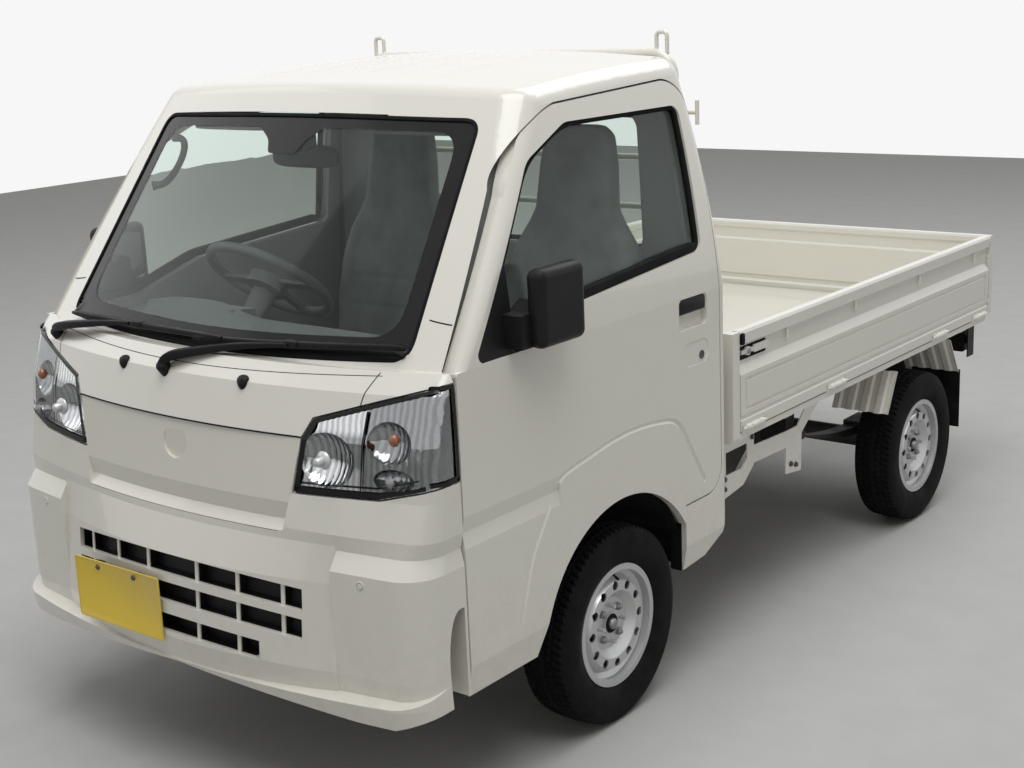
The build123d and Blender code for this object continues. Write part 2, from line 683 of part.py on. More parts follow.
def roof_rib(x):
    """A bead along the roof that rises out of its surface and sinks back into it."""
    middle = (RIB_FRONT_Y + RIB_REAR_Y) / 2
    ends = [(x, y, roof_height(x, y) - RIB_R - 0.5) for y in (RIB_FRONT_Y, RIB_REAR_Y)]
    path = ThreePointArc(ends[0], (x, middle, roof_height(x, middle) - RIB_R + RIB_RISE), ends[1])
    return sweep(Plane(origin=path @ 0, z_dir=path % 0) * Circle(RIB_R), path=path)


def tuck_tool():
    """What the left side panel loses where its foot tucks in."""
    points = [(HALF_W, TUCK_Z), (HALF_W - TUCK_IN, SILL_Z), (HALF_W - TUCK_IN, SILL_Z - 1),
              (HALF_W + 1, SILL_Z - 1), (HALF_W + 1, TUCK_Z)]
    return cross_bar(points, LOWER_FRONT_Y - 1, CAB_REAR_Y + 1)


def rear_foot_tool():
    """What the cab loses at its lower rear corner."""
    outline = [(REAR_FOOT[0][0] + 1, REAR_FOOT[0][1])] + REAR_FOOT
    outline += [(REAR_FOOT[-1][0], SILL_Z - 1), (CAB_REAR_Y + 1, SILL_Z - 1)]
    return side_plate(outline, -HALF_W - 1, HALF_W + 1)


def side_creases():
    """The creases of the left side: the wide one ahead of the arch and the narrow one round its flare."""
    high, deep, low = CREASE_Z
    wide = cross_bar([(HALF_W + 1, high), (HALF_W - CREASE_DEPTH, deep), (HALF_W + 1, low)],
                     LOWER_FRONT_Y - 1, CREASE_END_Y)
    path = FilletPolyline(*[(HALF_W, y, z) for y, z in FLARE_LINE], radius=FLARE_BENDS)
    plane = Plane(origin=path @ 0, x_dir=(1, 0, 0), z_dir=path % 0)
    section = plane * make_face(Polyline((1, -FLARE_HALF, 0), (1, FLARE_HALF, 0), (-FLARE_DEPTH, 0, 0),
                                         close=True))
    return [wide, sweep(section, path=path)]


def side_pocket(y0, y1, z0, z1, radius, depth):
    """A rounded pocket in the left side's surface."""
    plane = Plane(origin=(HALF_W - depth, (y0 + y1) / 2, (z0 + z1) / 2), x_dir=(0, 1, 0), z_dir=(1, 0, 0))
    return extrude(plane * RectangleRounded(y1 - y0, z1 - z0, radius), amount=depth + 20)


def handle_pan():
    """The door handle's pocket, with the paddle left standing across its upper half."""
    y0, y1, z0, z1, radius, depth = HANDLE_PAN
    paddle = block(HALF_W - PADDLE_DEPTH - PADDLE_T, HALF_W - PADDLE_DEPTH, y0, y1, PADDLE_LOW_Z, z1)
    return side_pocket(*HANDLE_PAN) - paddle


def cab_space():
    """The hollow inside the cab's walls."""
    top = upper_form(DOOR_WALL, FRONT_WALL, REAR_WALL) & roof_tool(ROOF_WALL)
    return top + lower_form(DOOR_WALL, FRONT_WALL, REAR_WALL)


def arch_tool():
    """The wheel arch: a circle on the axle, a steep rear edge and a raked front edge."""
    circle = rod_x(ARCH_R, 300, 800, FRONT_AXLE_Y, TYRE_R)
    circle = circle & block(300, 800, FRONT_AXLE_Y - 400, ARCH_REAR_Y, TYRE_R - 400, TYRE_R + 400)
    mouth = side_plate([(FRONT_AXLE_Y - 318, 430), (ARCH_FRONT_Y, SILL_Z - 10), (ARCH_REAR_Y, SILL_Z - 10),
                        (ARCH_REAR_Y, 430)], 300, 800)
    return circle + mouth


def door_outline(grow=0.0):
    """The door seen from the side, as an outline on the centre plane, grown by the shut gap."""
    g = grow
    f = DOOR_FRONT_Y - g
    edges = [Line((0, f, SILL_Z - g), (0, f, 1085)), Line((0, f, 1085), (0, -1172 - g, 1455 + g)),
             ThreePointArc((0, -1172 - g, 1455 + g), (0, -1075 - g * 0.7, 1566 + g * 0.7),
                           (0, -925, 1634 + g)),
             Line((0, -925, 1634 + g), (0, -450, 1656 + g)),
             ThreePointArc((0, -450, 1656 + g), (0, -366 + g * 0.7, 1620 + g * 0.7), (0, -330 + g, 1540)),
             Line((0, -330 + g, 1540), (0, -316 + g, 1150)), Line((0, -316 + g, 1150), (0, -312 + g, 590)),
             ThreePointArc((0, -312 + g, 590), (0, -331 + g * 0.7, 541 - g * 0.7), (0, -380, 518 - g)),
             Line((0, -380, 518 - g), (0, ARCH_REAR_Y, 518 - g)),
             Line((0, ARCH_REAR_Y, 518 - g), (0, ARCH_REAR_Y, SILL_Z - g)),
             Line((0, ARCH_REAR_Y, SILL_Z - g), (0, f, SILL_Z - g))]
    return make_face(Curve() + edges)


def window_outline(grow=0.0):
    """The side window: its belt line steps up behind the mirror, its upper front corner follows the pillar."""
    points = [(-1368.0, 1096.0), (-1155.0, 1096.0), (-935.0, 1166.0), (-385.0, 1205.0), (-392.0, 1590.0),
              (-900.0, 1590.0), (-1075.0, 1515.0)]
    radii = [18.0, 60.0, 60.0, 30.0, 34.0, 90.0, 90.0]
    face = make_face(Polyline(*[(0, y, z) for y, z in points], close=True))
    for (y, z), r in zip(points, radii):
        corner = min(face.vertices(), key=lambda v: (v.Y - y) ** 2 + (v.Z - z) ** 2)
        face = fillet(corner, r)
    return offset(face, grow) if grow else face


def through_side(face, x0=540.0, x1=800.0):
    """An outline on the centre plane carried through the left side wall."""
    return extrude(Pos(x0, 0, 0) * face, amount=x1 - x0, dir=(1, 0, 0))


def front_outline(points, radius, y0=-1750.0, y1=-900.0):
    """A rounded outline of (x, z) points carried through the front."""
    face = make_face(Polyline(*[(x, y0, z) for x, z in points], close=True))
    face = fillet(face.vertices(), radius) if radius else face
    return extrude(face, amount=y1 - y0, dir=(0, 1, 0))


def screen_opening(grow=0.0):
    """The windscreen opening, cut straight back through the front wall."""
    x_low = 612.0 + grow
    x_high = 560.0 + grow
    edges = [ThreePointArc((-x_low, -1750, 1106 - grow), (0, -1750, 1092 - grow),
                           (x_low, -1750, 1106 - grow)),
             Line((x_low, -1750, 1106 - grow), (x_high, -1750, 1612 + grow)),
             ThreePointArc((x_high, -1750, 1612 + grow), (0, -1750, 1626 + grow),
                           (-x_high, -1750, 1612 + grow)),
             Line((-x_high, -1750, 1612 + grow), (-x_low, -1750, 1106 - grow))]
    face = make_face(Curve() + edges)
    face = fillet(face.vertices(), 42 + grow)
    return extrude(face, amount=850, dir=(0, 1, 0))


def rear_window_outline(grow=0.0):
    """The rear window's rounded outline carried through the rear wall."""
    half, low, high = REAR_WINDOW
    plane = Plane(origin=(0, -420, (low + high) / 2), x_dir=(1, 0, 0), z_dir=(0, 1, 0))
    return extrude(plane * RectangleRounded(2 * (half + grow), high - low + 2 * grow, 45 + grow),
                   amount=400)


def side_inner(depth):
    """Everything more than a depth inside the cab's side surfaces, running past its front and rear."""
    top = upper_form(depth, -SIDE_PAST, -SIDE_PAST)
    x = HALF_W - depth
    return top + block(-x, x, LOWER_FRONT_Y - SIDE_PAST, CAB_REAR_Y + SIDE_PAST, SILL_Z - 1, COWL_TOP_Z)


def scuttle():
    """The shelf under the windscreen that joins its frame to the front wall."""
    inside = nose_form(INNER_SECTIONS, SEAT_GAP, False)
    return inside & block(-HALF_W + 60, HALF_W - 60, -HALF_L, LOWER_FRONT_Y, COWL_TOP_Z - SCUTTLE_T,
                          COWL_TOP_Z)


def make_cab():
    """Cuts the cab's walls into the shell, the doors and the glass."""
    outer = cab_form()
    walls = outer - cab_space()
    arch = arch_tool()
    slab = outer - side_inner(DOOR_WALL + SWING_GAP)
    opening = through_side(door_outline(PANEL_GAP)) & slab
    shell = walls - [opening, mirrored(opening), screen_opening(), rear_window_outline(), arch,
                     mirrored(arch)]
    shell = shell - block(-600, 600, LOWER_FRONT_Y - 1, CAB_REAR_Y + 1, SILL_Z - 1,
                          FRONT_RAIL_Z + RAIL_H + PANEL_GAP)
    shell = shell + scuttle()
    save("cab_shell", *biggest(shell))
    skin = (outer - side_inner(SKIN_T)) & through_side(door_outline())
    core = (outer - side_inner(DOOR_WALL)) & through_side(door_outline(-DOOR_RETURN))
    door = (skin + core) - [through_side(window_outline()), arch, handle_pan(),
                            side_pocket(*KEY_PAD)] - side_creases()
    save("door_left", *biggest(door))
    save("door_right", *[mirrored(s) for s in biggest(door)])
    glass_skin = upper_form(0, 4, 4) - upper_form(GLASS_T, 4 + GLASS_T * 1.2, 4 + GLASS_T)
    save("windscreen", *biggest(glass_skin & screen_opening(-SEAT_GAP)))
    save("rear_window", *biggest(glass_skin & rear_window_outline(-SEAT_GAP)))
    pane = upper_form(20, 0, 0) - upper_form(20 + GLASS_T, 0, 0)
    pane = pane & through_side(window_outline(-SEAT_GAP))
    save("door_glass_left", *biggest(pane))
    save("door_glass_right", *[mirrored(s) for s in biggest(pane)])


def biggest(shape, least=2000.0):
    """The solids of a shape that are more than crumbs of the cutting."""
    return [s for s in shape.solids() if s.volume > least]


# Front end


def nose_form(sections, wall=0.0, flat=True):
    """A part of the nose from its plan sections, taken in by a wall; flat keeps it straight between them."""
    faces = [plan_face(z, front + wall, sag, half - wall, corner, NOSE_REAR_Y + 120, 0)
             for z, front, sag, half, corner in sections]
    return loft(faces, ruled=flat) & block(-HALF_W, HALF_W, -HALF_L - 10, NOSE_REAR_Y, 0, HEIGHT)


def front_region(points):
    """Everything behind an outline of (x, z) points, through the whole nose."""
    return cross_bar(points, -1760, NOSE_REAR_Y)


def grille_row(low, high, half):
    """One dark opening of the grille, bowed down towards its ends, with upright bars left in it."""
    drop = GRILLE_DROP * (half / GRILLE_DROP_X) ** 2
    y = -1760.0
    corners = [(-half, y, high - drop), (0, y, high), (half, y, high - drop), (half, y, low - drop),
               (0, y, low), (-half, y, low - drop)]
    edges = [ThreePointArc(*corners[0:3]), Line(corners[2], corners[3]), ThreePointArc(*corners[3:6]),
             Line(corners[5], corners[0])]
    row = extrude(make_face(Curve() + edges), amount=200, dir=(0, 1, 0))
    depth = nose_form(FRONT_SECTIONS, BAR_INSET)
    for x in GRILLE_BARS:
        if x < half:
            for side in (1, -1):
                bar = block(side * x - BAR_HALF, side * x + BAR_HALF, -1760, -1500, low - GRILLE_DROP,
                            high + 1)
                row = row - (bar & depth)
    return row


def nose_skin():
    """The outside of the front end: band, fascia, corners and lip joined."""
    corner = block(CORNER_X, HALF_W + 1, -1760, NOSE_REAR_Y, 200, CORNER_TOP_Z)
    corners = corner + mirrored(corner)
    fascia = front_region(FASCIA_OUTLINE)
    body = nose_form(FRONT_SECTIONS) - [fascia, corners]
    body = body + (nose_form(FASCIA_SECTIONS) & fascia)
    body = body + (nose_form(CORNER_SECTIONS) & corners)
    body = body - rod_y(BADGE_R, BADGE_Y - 40, BADGE_Y + BADGE_DEPTH, 0, BADGE_Z)
    under = side_plate([(-1760, LIP_Z + LIP_SLOPE * (-1760 - LIP_Y)),
                        (NOSE_REAR_Y, LIP_Z + LIP_SLOPE * (NOSE_REAR_Y - LIP_Y)),
                        (NOSE_REAR_Y, 200), (-1760, 200)], -HALF_W - 1, HALF_W + 1)
    body = body + (nose_form(LIP_SECTIONS) & under)
    foot = front_region(FOOT_OUTLINE + [(740.0, 100.0), (-740.0, 100.0)])
    return body - foot


def make_nose():
    """The cowl panel under the windscreen, the bumper cover with its grille, and the two lamp units."""
    solid = nose_skin()
    inner = nose_form(INNER_SECTIONS, 0, False)
    skin = solid - inner
    lamp_room = [front_outline_grown(LAMP_OUTLINE, SHUT_GAP)]
    lamp_room.append(mirrored(lamp_room[0]))
    cowl = skin & block(-800, 800, -1750, NOSE_REAR_Y, COWL_LOW_Z + SHUT_GAP, 1100)
    save("cowl_panel", *biggest(cowl - lamp_room))
    rows = [grille_row(*row) for row in GRILLE_ROWS]
    wall_y = LOWER_FRONT_Y - SEAT_GAP
    flange = solid & block(FLANGE_X, HALF_W, wall_y - 8, wall_y, SILL_Z + 10, BUMPER_JOIN_Z - 40)
    cover = (skin & block(-800, 800, -1750, wall_y, 200, COWL_LOW_Z)) + flange + mirrored(flange)
    save("front_bumper", *biggest(cover - rows - lamp_room))
    insert = nose_form(INNER_SECTIONS, SEAT_GAP, False) - nose_form(INNER_SECTIONS, SEAT_GAP + INSERT_T,
                                                                    False)
    insert = insert & block(-470, 470, -HALF_L, NOSE_REAR_Y, 370, 640)
    save("grille_insert", insert)
    unit = nose_form(FRONT_SECTIONS) & front_region(LAMP_OUTLINE)
    lens = unit - nose_form(FRONT_SECTIONS, LENS_T)
    housing = unit & nose_form(FRONT_SECTIONS, LENS_T + LENS_GAP)
    housing = housing - lamp_bowls() - block(0, 800, -1480, -1380, 700, 1200)
    housing = housing + block(450, 640, -1486, wall_y, 860, 980)
    save("headlamps", *biggest(housing), *[mirrored(s) for s in biggest(housing)])
    save("lamp_lenses", *biggest(lens), *[mirrored(s) for s in biggest(lens)])


def lamp_bowls():
    """The hollows of the main lamp, the turn lamp and the marker lamp."""
    bowls = []
    for x, y, z, rx, ry, rz in LAMP_BOWLS:
        bowls.append(Pos(x, y, z) * scale(Sphere(1), by=(rx, ry, rz)))
    return bowls


def front_outline_grown(points, grow):
    """A lamp's outline grown by the gap round it."""
    face = make_face(Polyline(*[(x, -1750, z) for x, z in points], close=True))
    face = offset(face, grow, kind=Kind.INTERSECTION)
    return extrude(face, amount=370, dir=(0, 1, 0))


# Cab inside


def cab_floor():
    """The foot floor, the riser, the seat deck over the engine and wheels, and the inner wheel-house walls."""
    t = DECK_T
    rear = CAB_REAR_Y - REAR_WALL - 0.3
    front = LOWER_FRONT_Y + FRONT_WALL + 0.3
    line = [(front, FLOOR_Z - t), (FOOT_REAR_Y + t, FLOOR_Z - t), (FOOT_REAR_Y + t, SEAT_DECK_Z - t),
            (rear, SEAT_DECK_Z - t),
            (rear, SEAT_DECK_Z), (FOOT_REAR_Y, SEAT_DECK_Z), (FOOT_REAR_Y, FLOOR_Z), (front, FLOOR_Z)]
    floor = side_plate(line, -FLOOR_HALF_W, FLOOR_HALF_W)
    for side in (1, -1):
        wall = block(WHEELHOUSE_X - 8, WHEELHOUSE_X, FOOT_REAR_Y + t, FRONT_AXLE_Y + 325, FLOOR_Z - t,
                     SEAT_DECK_Z - t)
        floor += wall if side > 0 else mirrored(wall)
    return floor & lower_form(HALF_W - FLOOR_HALF_W, FRONT_WALL + SEAT_GAP, REAR_WALL + SEAT_GAP)


def seat(x):
    """A high-backed seat: a rounded cushion, and a leaning backrest that narrows into the head restraint."""
    cushion = block(x - SEAT_HALF, x + SEAT_HALF, -930, -440, SEAT_DECK_Z + SEAT_GAP,
                    SEAT_DECK_Z + CUSHION_T)
    cushion = fillet(cushion.edges().filter_by(Axis.Z) + cushion.faces().sort_by(Axis.Z)[-1].edges(), 36)
    faces = []
    for z, front, depth, half, corner in BACK_SECTIONS:
        plane = Plane(origin=(x, front + depth / 2, z), x_dir=(1, 0, 0), z_dir=(0, 0, 1))
        faces.append(plane * RectangleRounded(2 * half, depth, corner))
    return cushion + loft(faces, ruled=True)


def dashboard():
    """The dashboard with its hood over the dials, and the steering column under it."""
    front = LOWER_FRONT_Y + FRONT_WALL + SEAT_GAP
    board = side_plate([(front, 1060), (-1250, 1070), (-1185, 1010), (-1195, 860), (-1260, 780),
                        (front, 780)], -676, 676)
    hood = side_plate([(-1300, 1060), (-1260, 1120), (-1180, 1110), (-1185, 1000), (-1300, 1000)],
                      -STEER_X - 170, -STEER_X + 170)
    base = steering_point(-40)
    far = steering_point(-380)
    column = tube([base, far], 0, 34)
    return board + hood + column


def steering_point(along):
    """A point on the steering column's axis, measured from the wheel's centre towards the driver."""
    tilt = math.radians(STEER_TILT)
    return (-STEER_X, STEER_Y + along * math.cos(tilt), STEER_Z + along * math.sin(tilt))


def steering_wheel():
    """The rim, three spokes and the boss, on a shaft that meets the column."""
    tilt = math.radians(STEER_TILT)
    plane = Plane(origin=steering_point(0), x_dir=(1, 0, 0), z_dir=(0, math.cos(tilt), math.sin(tilt)))
    wheel = plane * Torus(STEER_R, 14)
    wheel += plane * Pos(0, 0, -14) * Cylinder(58, 34)
    for angle in (0, 90, 180):
        wheel += plane * Rot(0, 0, angle) * Pos(STEER_R / 2 + 20, 0, -6) * Box(STEER_R - 50, 34, 10)
    wheel += plane * Pos(0, 0, -34) * Cylinder(16, 10)
    return wheel


def make_inside():
    save("cab_floor", cab_floor())
    save("seat_passenger", seat(SEAT_X))
    save("seat_driver", seat(-SEAT_X))
    save("dashboard", dashboard())
    save("steering_wheel", steering_wheel())
    engine = block(-230, 230, -1000, -420, 215, 600) - block(-300, 300, -860, -740, 200, 305)
    mount_x = RAIL_X - RAIL_W / 2 - SEAT_GAP
    save("engine_block", engine + block(-mount_x, mount_x, -640, -580, 310, 360))


# Bed, gates and the guard behind the cab


def gate_profile():
    """The gate's section as (out, z): rolled top rail, recessed band, sloping ledge, flat panel and its ribs."""
    t = GATE_T
    roll = 8.0
    return [(0, GATE_LOW_Z), (0, 676), (-3, 680), (-3, 688), (0, 692), (0, 813), (-BAND_IN, 840),
            (-BAND_IN, 893), (0, 901),
            (0, GATE_TOP_Z - roll), (-roll / 2, GATE_TOP_Z), (-t + roll / 2, GATE_TOP_Z),
            (-t, GATE_TOP_Z - roll), (-t, 915),
            (-t + 6, 907), (-t + 6, 870), (-t, 862), (-t, 722), (-t + 6, 714), (-t + 6, 700), (-t, 692),
            (-t, GATE_LOW_Z)]


def side_gate():
    """The left drop side."""
    points = [(GATE_OUTER_X + out, z) for out, z in gate_profile()]
    gate = cross_bar(points, SIDE_GATE_FRONT_Y, SIDE_GATE_REAR_Y)
    gate = gate - panel_frame(SIDE_GATE_FRONT_Y, SIDE_GATE_REAR_Y, GATE_OUTER_X)
    for y in ROPE_HOOKS:
        gate += rope_hook(y)
    return gate + gate_latch()


def panel_frame(y0, y1, face_x):
    """The groove pressed round a gate's flat panel, on a gate that runs along Y."""
    low, high = FRAME_Z
    ring = block(face_x - FRAME_DEPTH, face_x + 1, y0 + FRAME_IN, y1 - FRAME_IN, low, high)
    w = FRAME_W
    return ring - block(face_x - FRAME_DEPTH - 1, face_x + 2, y0 + FRAME_IN + w, y1 - FRAME_IN - w, low + w,
                        high - w)


def rope_hook(y):
    """An upright bar with a turned-in foot and head, in the band of the gate."""
    low, high = ROPE_HOOK_Z
    x_in = GATE_OUTER_X - BAND_IN - 2
    x = GATE_OUTER_X - ROPE_HOOK_R - 0.5
    return tube([(x_in, y, low), (x, y, low), (x, y, high), (x_in, y, high)], ROPE_HOOK_R,
                ROPE_HOOK_R - 0.8)


def gate_latch():
    """The lever that locks the side gate to the corner post, lying in the band."""
    y0, y1 = LATCH_Y
    z0, z1 = LATCH_Z
    grip = block(GATE_OUTER_X - 9, GATE_OUTER_X - 3, (y0 + y1) / 2 - 10, y1, z0, z1)
    grip = fillet(grip.edges().filter_by(Axis.X), 4)
    boss = Pos(GATE_OUTER_X - 8, y0 + 34, (z0 + z1) / 2) * Rot(0, 90, 0) * Cylinder(13, 12)
    return grip + boss + block(GATE_OUTER_X - 14, GATE_OUTER_X - 5, y0, (y0 + y1) / 2, z0 + 5, z1 - 5)


def tail_gate():
    """The rear drop gate, across the whole width."""
    points = [(TAIL_OUTER_Y + out, z) for out, z in gate_profile()]
    gate = side_plate(points, -GATE_OUTER_X, GATE_OUTER_X)
    frame = panel_frame(-GATE_OUTER_X, GATE_OUTER_X, TAIL_OUTER_Y)
    return gate - Rot(0, 0, 90) * frame


def hinge_shapes():
    """One gate hinge, its pin along Y at the origin, outside at +X: the room, the gate's leaf, the sill's leaves."""
    step = KNUCKLE_HALF + HINGE_STEP
    room = block(-12, PIN_R + 1, -KNUCKLE_END - 4, KNUCKLE_END + 4, GATE_LOW_Z - GATE_HINGE_Z - 1, 8)
    strap = block(-14, 0, -KNUCKLE_HALF, KNUCKLE_HALF, -2, 12) + rod_y(PIN_R, -KNUCKLE_HALF, KNUCKLE_HALF,
                                                                       0, 0)
    end = block(-HINGE_REACH, 0, step, KNUCKLE_END, -14, 0) + rod_y(PIN_R, step, KNUCKLE_END, 0, 0)
    return room, strap, [end, end.mirror(Plane.XZ)]


def hang_gate(gate, bed, places):
    """Hangs a gate on the bed's sill at each place."""
    room, strap, ends = hinge_shapes()
    for place in places:
        gate = (gate - place * room) + place * strap
        bed = bed + [place * end for end in ends]
    return gate, bed


def bed_floor():
    """The load floor with its side sills, cross members, front panel and corner posts."""
    t = BED_FLOOR_T
    floor = block(-BED_IN_X, BED_IN_X, BED_FRONT_Y, FLOOR_END_Y - 14, BED_FLOOR_Z - t, BED_FLOOR_Z)
    for side in (1, -1):
        sill = cross_bar([(BED_IN_X - 60, BED_FLOOR_Z - t), (BED_IN_X - 60, BED_SILL_Z),
                          (BED_IN_X - 10, BED_SILL_Z), (LIP_X, 622),
                          (LIP_X, 640), (BED_IN_X, 640), (BED_IN_X, BED_FLOOR_Z - t)], BED_FRONT_Y,
                         FLOOR_END_Y - 14)
        floor += sill if side > 0 else mirrored(sill)
    floor += block(-BED_IN_X, BED_IN_X, FLOOR_END_Y - 60, FLOOR_END_Y - 2, BEAM_TAIL_Z, BED_FLOOR_Z - t)
    floor += block(-BED_IN_X, BED_IN_X, FLOOR_END_Y - 10, TAIL_LIP_Y, 620, 638)
    for i in range(6):
        y = BED_FRONT_Y + 90 + i * 340
        floor += block(-BED_IN_X + 20, BED_IN_X - 20, y - 25, y + 25, BEAM_LOW_Z, BED_FLOOR_Z - t)
    floor += block(-BED_IN_X, BED_IN_X, BED_FRONT_Y, BED_FRONT_Y + 26, BED_FLOOR_Z, GATE_TOP_Z)
    for side in (1, -1):
        post = block(BED_IN_X - 2, GATE_OUTER_X, BED_FRONT_Y, POST_END_Y, 630, GATE_TOP_Z)
        floor += post if side > 0 else mirrored(post)
    for side in (1, -1):
        lug = block(RAIL_X - 25, RAIL_X + 25, 700, 1500, REAR_RAIL_Z + RAIL_H + 0.3, BEAM_LOW_Z + 1)
        floor += lug if side > 0 else mirrored(lug)
    return floor


def cab_guard():
    """The frame behind the cab: posts that lean with it, a top bar, window bars and two rope hooks."""
    top_z = ROOF_Z - 22.0
    frame = tube([(-GUARD_X, GUARD_Y, GATE_TOP_Z + 0.3), (-GUARD_X, GUARD_Y, top_z),
                  (GUARD_X, GUARD_Y, top_z), (GUARD_X, GUARD_Y, GATE_TOP_Z + 0.3)],
                 60, GUARD_R)
    for z in (1150, 1290, 1430, 1570):
        frame += rod_x(9, -GUARD_X, GUARD_X, GUARD_Y, z)
    for side in (1, -1):
        peak = HEIGHT - HOOK_R
        hook = tube([(HOOK_X - HOOK_HALF, GUARD_Y, top_z), (HOOK_X - HOOK_HALF, GUARD_Y, peak),
                     (HOOK_X + HOOK_HALF, GUARD_Y, peak), (HOOK_X + HOOK_HALF, GUARD_Y, top_z)], 12, HOOK_R)
        hook += rod_x(HOOK_R, GUARD_X, TEE_X, GUARD_Y, sum(TEE_Z) / 2)
        hook += Pos(TEE_X, GUARD_Y, sum(TEE_Z) / 2) * Cylinder(HOOK_R, TEE_Z[1] - TEE_Z[0])
        foot = block(GUARD_X - 24, GUARD_X + 24, BED_FRONT_Y - 36, BED_FRONT_Y - 0.3, GATE_TOP_Z - 90,
                     GATE_TOP_Z + 8)
        frame += hook if side > 0 else mirrored(hook)
        frame += foot if side > 0 else mirrored(foot)
    return frame


def rear_mudguards():
    """The raked, ribbed plates ahead of and behind each rear wheel, under the bed."""
    pieces = []
    for top_y, top_z, foot_y, foot_z in (GUARD_FRONT, GUARD_REAR):
        faces = []
        for y, z in ((foot_y, foot_z), (top_y, top_z)):
            line = wave_line()
            back = [(x, d + GUARD_T) for x, d in reversed(line)]
            faces.append(make_face(Polyline(*[(x, y + d, z) for x, d in line + back], close=True)))
        pieces.append(loft(faces, ruled=True))
    return pieces + [mirrored(p) for p in pieces]


def wave_line():
    """The waves of a mudguard seen from above, as (x, depth) points from its inner to its outer edge."""
    width = LIP_X - GUARD_X_IN
    count = int(width / WAVE_PITCH)
    pitch = width / count
    line = []
    for i in range(count):
        x = GUARD_X_IN + i * pitch
        line += [(x, 0), (x + pitch * 0.4, 0), (x + pitch * 0.55, WAVE_DEPTH),
                 (x + pitch * 0.85, WAVE_DEPTH)]
    return line + [(LIP_X, 0)]


def tail_lamps():
    """A lamp unit under each rear corner of the bed, with its hanger and the plate at its outer end."""
    x0, x1 = LAMP_X
    low, high = LAMP_Z
    front = FLOOR_END_Y + 12 - LAMP_DEPTH
    unit = block(x0, x1, front, FLOOR_END_Y + 12, low, high)
    unit = fillet(unit.edges().filter_by(Axis.Y), 10)
    hanger = block(x0 + 60, x1 - 60, front + 4, front + 20, high - 2, BEAM_TAIL_Z - SEAT_GAP)
    plate = block(x1 + 14, x1 + 18, front - 10, FLOOR_END_Y - 4, low - 16, BEAM_TAIL_Z - SEAT_GAP)
    lamp = unit + hanger + plate + block(x1 - 2, x1 + 15, front + 20, front + 40, low + 30, low + 60)
    return [lamp, mirrored(lamp)]


def side_brackets():
    """The pierced plate behind the cab on each side, and the stay with its bar under the left sill."""
    plate = side_plate(SIDE_PLATE, BRACKET_X, BRACKET_X + BRACKET_T)
    plate = plate - side_plate(SIDE_PLATE_HOLE, BRACKET_X - 1, BRACKET_X + BRACKET_T + 1)
    stay = side_plate(STAY, BRACKET_X, BRACKET_X + BRACKET_T)
    return [plate + stay, mirrored(plate)]


def mirror_left():
    """The left door mirror, folded back: a rounded head on an arm from the sail plate in the window's corner."""
    head = Pos(*MIRROR_AT) * Box(*MIRROR_SIZE)
    head = fillet(head.edges(), MIRROR_EDGE_R)
    sail = upper_form(SAIL_IN, 0, 0) - upper_form(SAIL_IN + SAIL_T, 0, 0)
    sail = sail & through_side(window_outline(-SEAT_GAP)) & block(540, 800, DOOR_FRONT_Y, SAIL_REAR_Y,
                                                                  FLOOR_Z, ROOF_Z)
    arm = side_plate(ARM_OUTLINE, *ARM_X)
    return head + arm + sail


def wipers():
    """Two wipers lying along the foot of the windscreen, each on a pivot post on the cowl panel."""
    shapes = []
    for run in WIPER_RUNS:
        x, y, z = run[0]
        post = Pos(x, y, (z + WIPER_FOOT_Z) / 2) * Cylinder(WIPER_R + 2, z - WIPER_FOOT_Z)
        shapes.append(tube(run, WIPER_BEND, WIPER_R) + post)
    return shapes


def make_bed():
    bed = bed_floor()
    side_places = [Pos(SIDE_HINGE_X, y, GATE_HINGE_Z) for y in SIDE_HINGES]
    gate, left_half = hang_gate(side_gate(), bed, side_places)
    ends = left_half - bed
    bed = left_half + mirrored(ends)
    rear, bed = hang_gate(tail_gate(), bed,
                          [Pos(x, TAIL_HINGE_Y, GATE_HINGE_Z) * Rot(0, 0, 90) for x in TAIL_HINGES])
    save("side_gate_left", gate)
    save("side_gate_right", mirrored(gate))
    save("tail_gate", rear)
    save("bed_floor", bed)
    save("cab_guard", cab_guard())
    save("rear_mudguards", *rear_mudguards())
    save("tail_lamps", *tail_lamps())
    save("mirror_left", mirror_left())
    save("mirror_right", mirrored(mirror_left()))
    flap_y = GUARD_REAR[2] + WAVE_DEPTH + GUARD_T + SEAT_GAP
    flap = block(GUARD_X_IN + 20, LIP_X, flap_y, flap_y + FLAP_T, *FLAP_Z)
    save("mud_flaps", flap, mirrored(flap))
    save("side_brackets", *side_brackets())
    rail_side = -RAIL_X - RAIL_W / 2 - SEAT_GAP
    tank = block(-560, -380, -150, 350, 300, 520)
    save("fuel_tank",
         tank + block(-381, rail_side, -90, -50, 310, 370) + block(-381, rail_side, 250, 290, 310, 370))
    save("exhaust", rod_y(60, -150, 330, 160, 235) + rod_y(20, -420, -149, 160, 237))
    save("wipers", *wipers())


def build_all():
    make_wheels()
    left_knuckle = knuckle()
    save("knuckle_left", left_knuckle)
    save("knuckle_right", mirrored(left_knuckle))
    save("front_suspension", *front_suspension())
    save("rear_axle", rear_axle())
    save("ladder_frame", ladder_frame())
    make_cab()
    make_nose()
    make_inside()
    make_bed()


build_all()
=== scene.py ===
# Looks of a small light truck: paint, glass, rubber, trim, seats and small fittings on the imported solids.
# Tables are in millimetres in the truck's own frame: x to its left, y backwards, z up.
import functools
import json
import math

import bmesh
import bpy
import numpy as np
from mathutils import Matrix, Vector

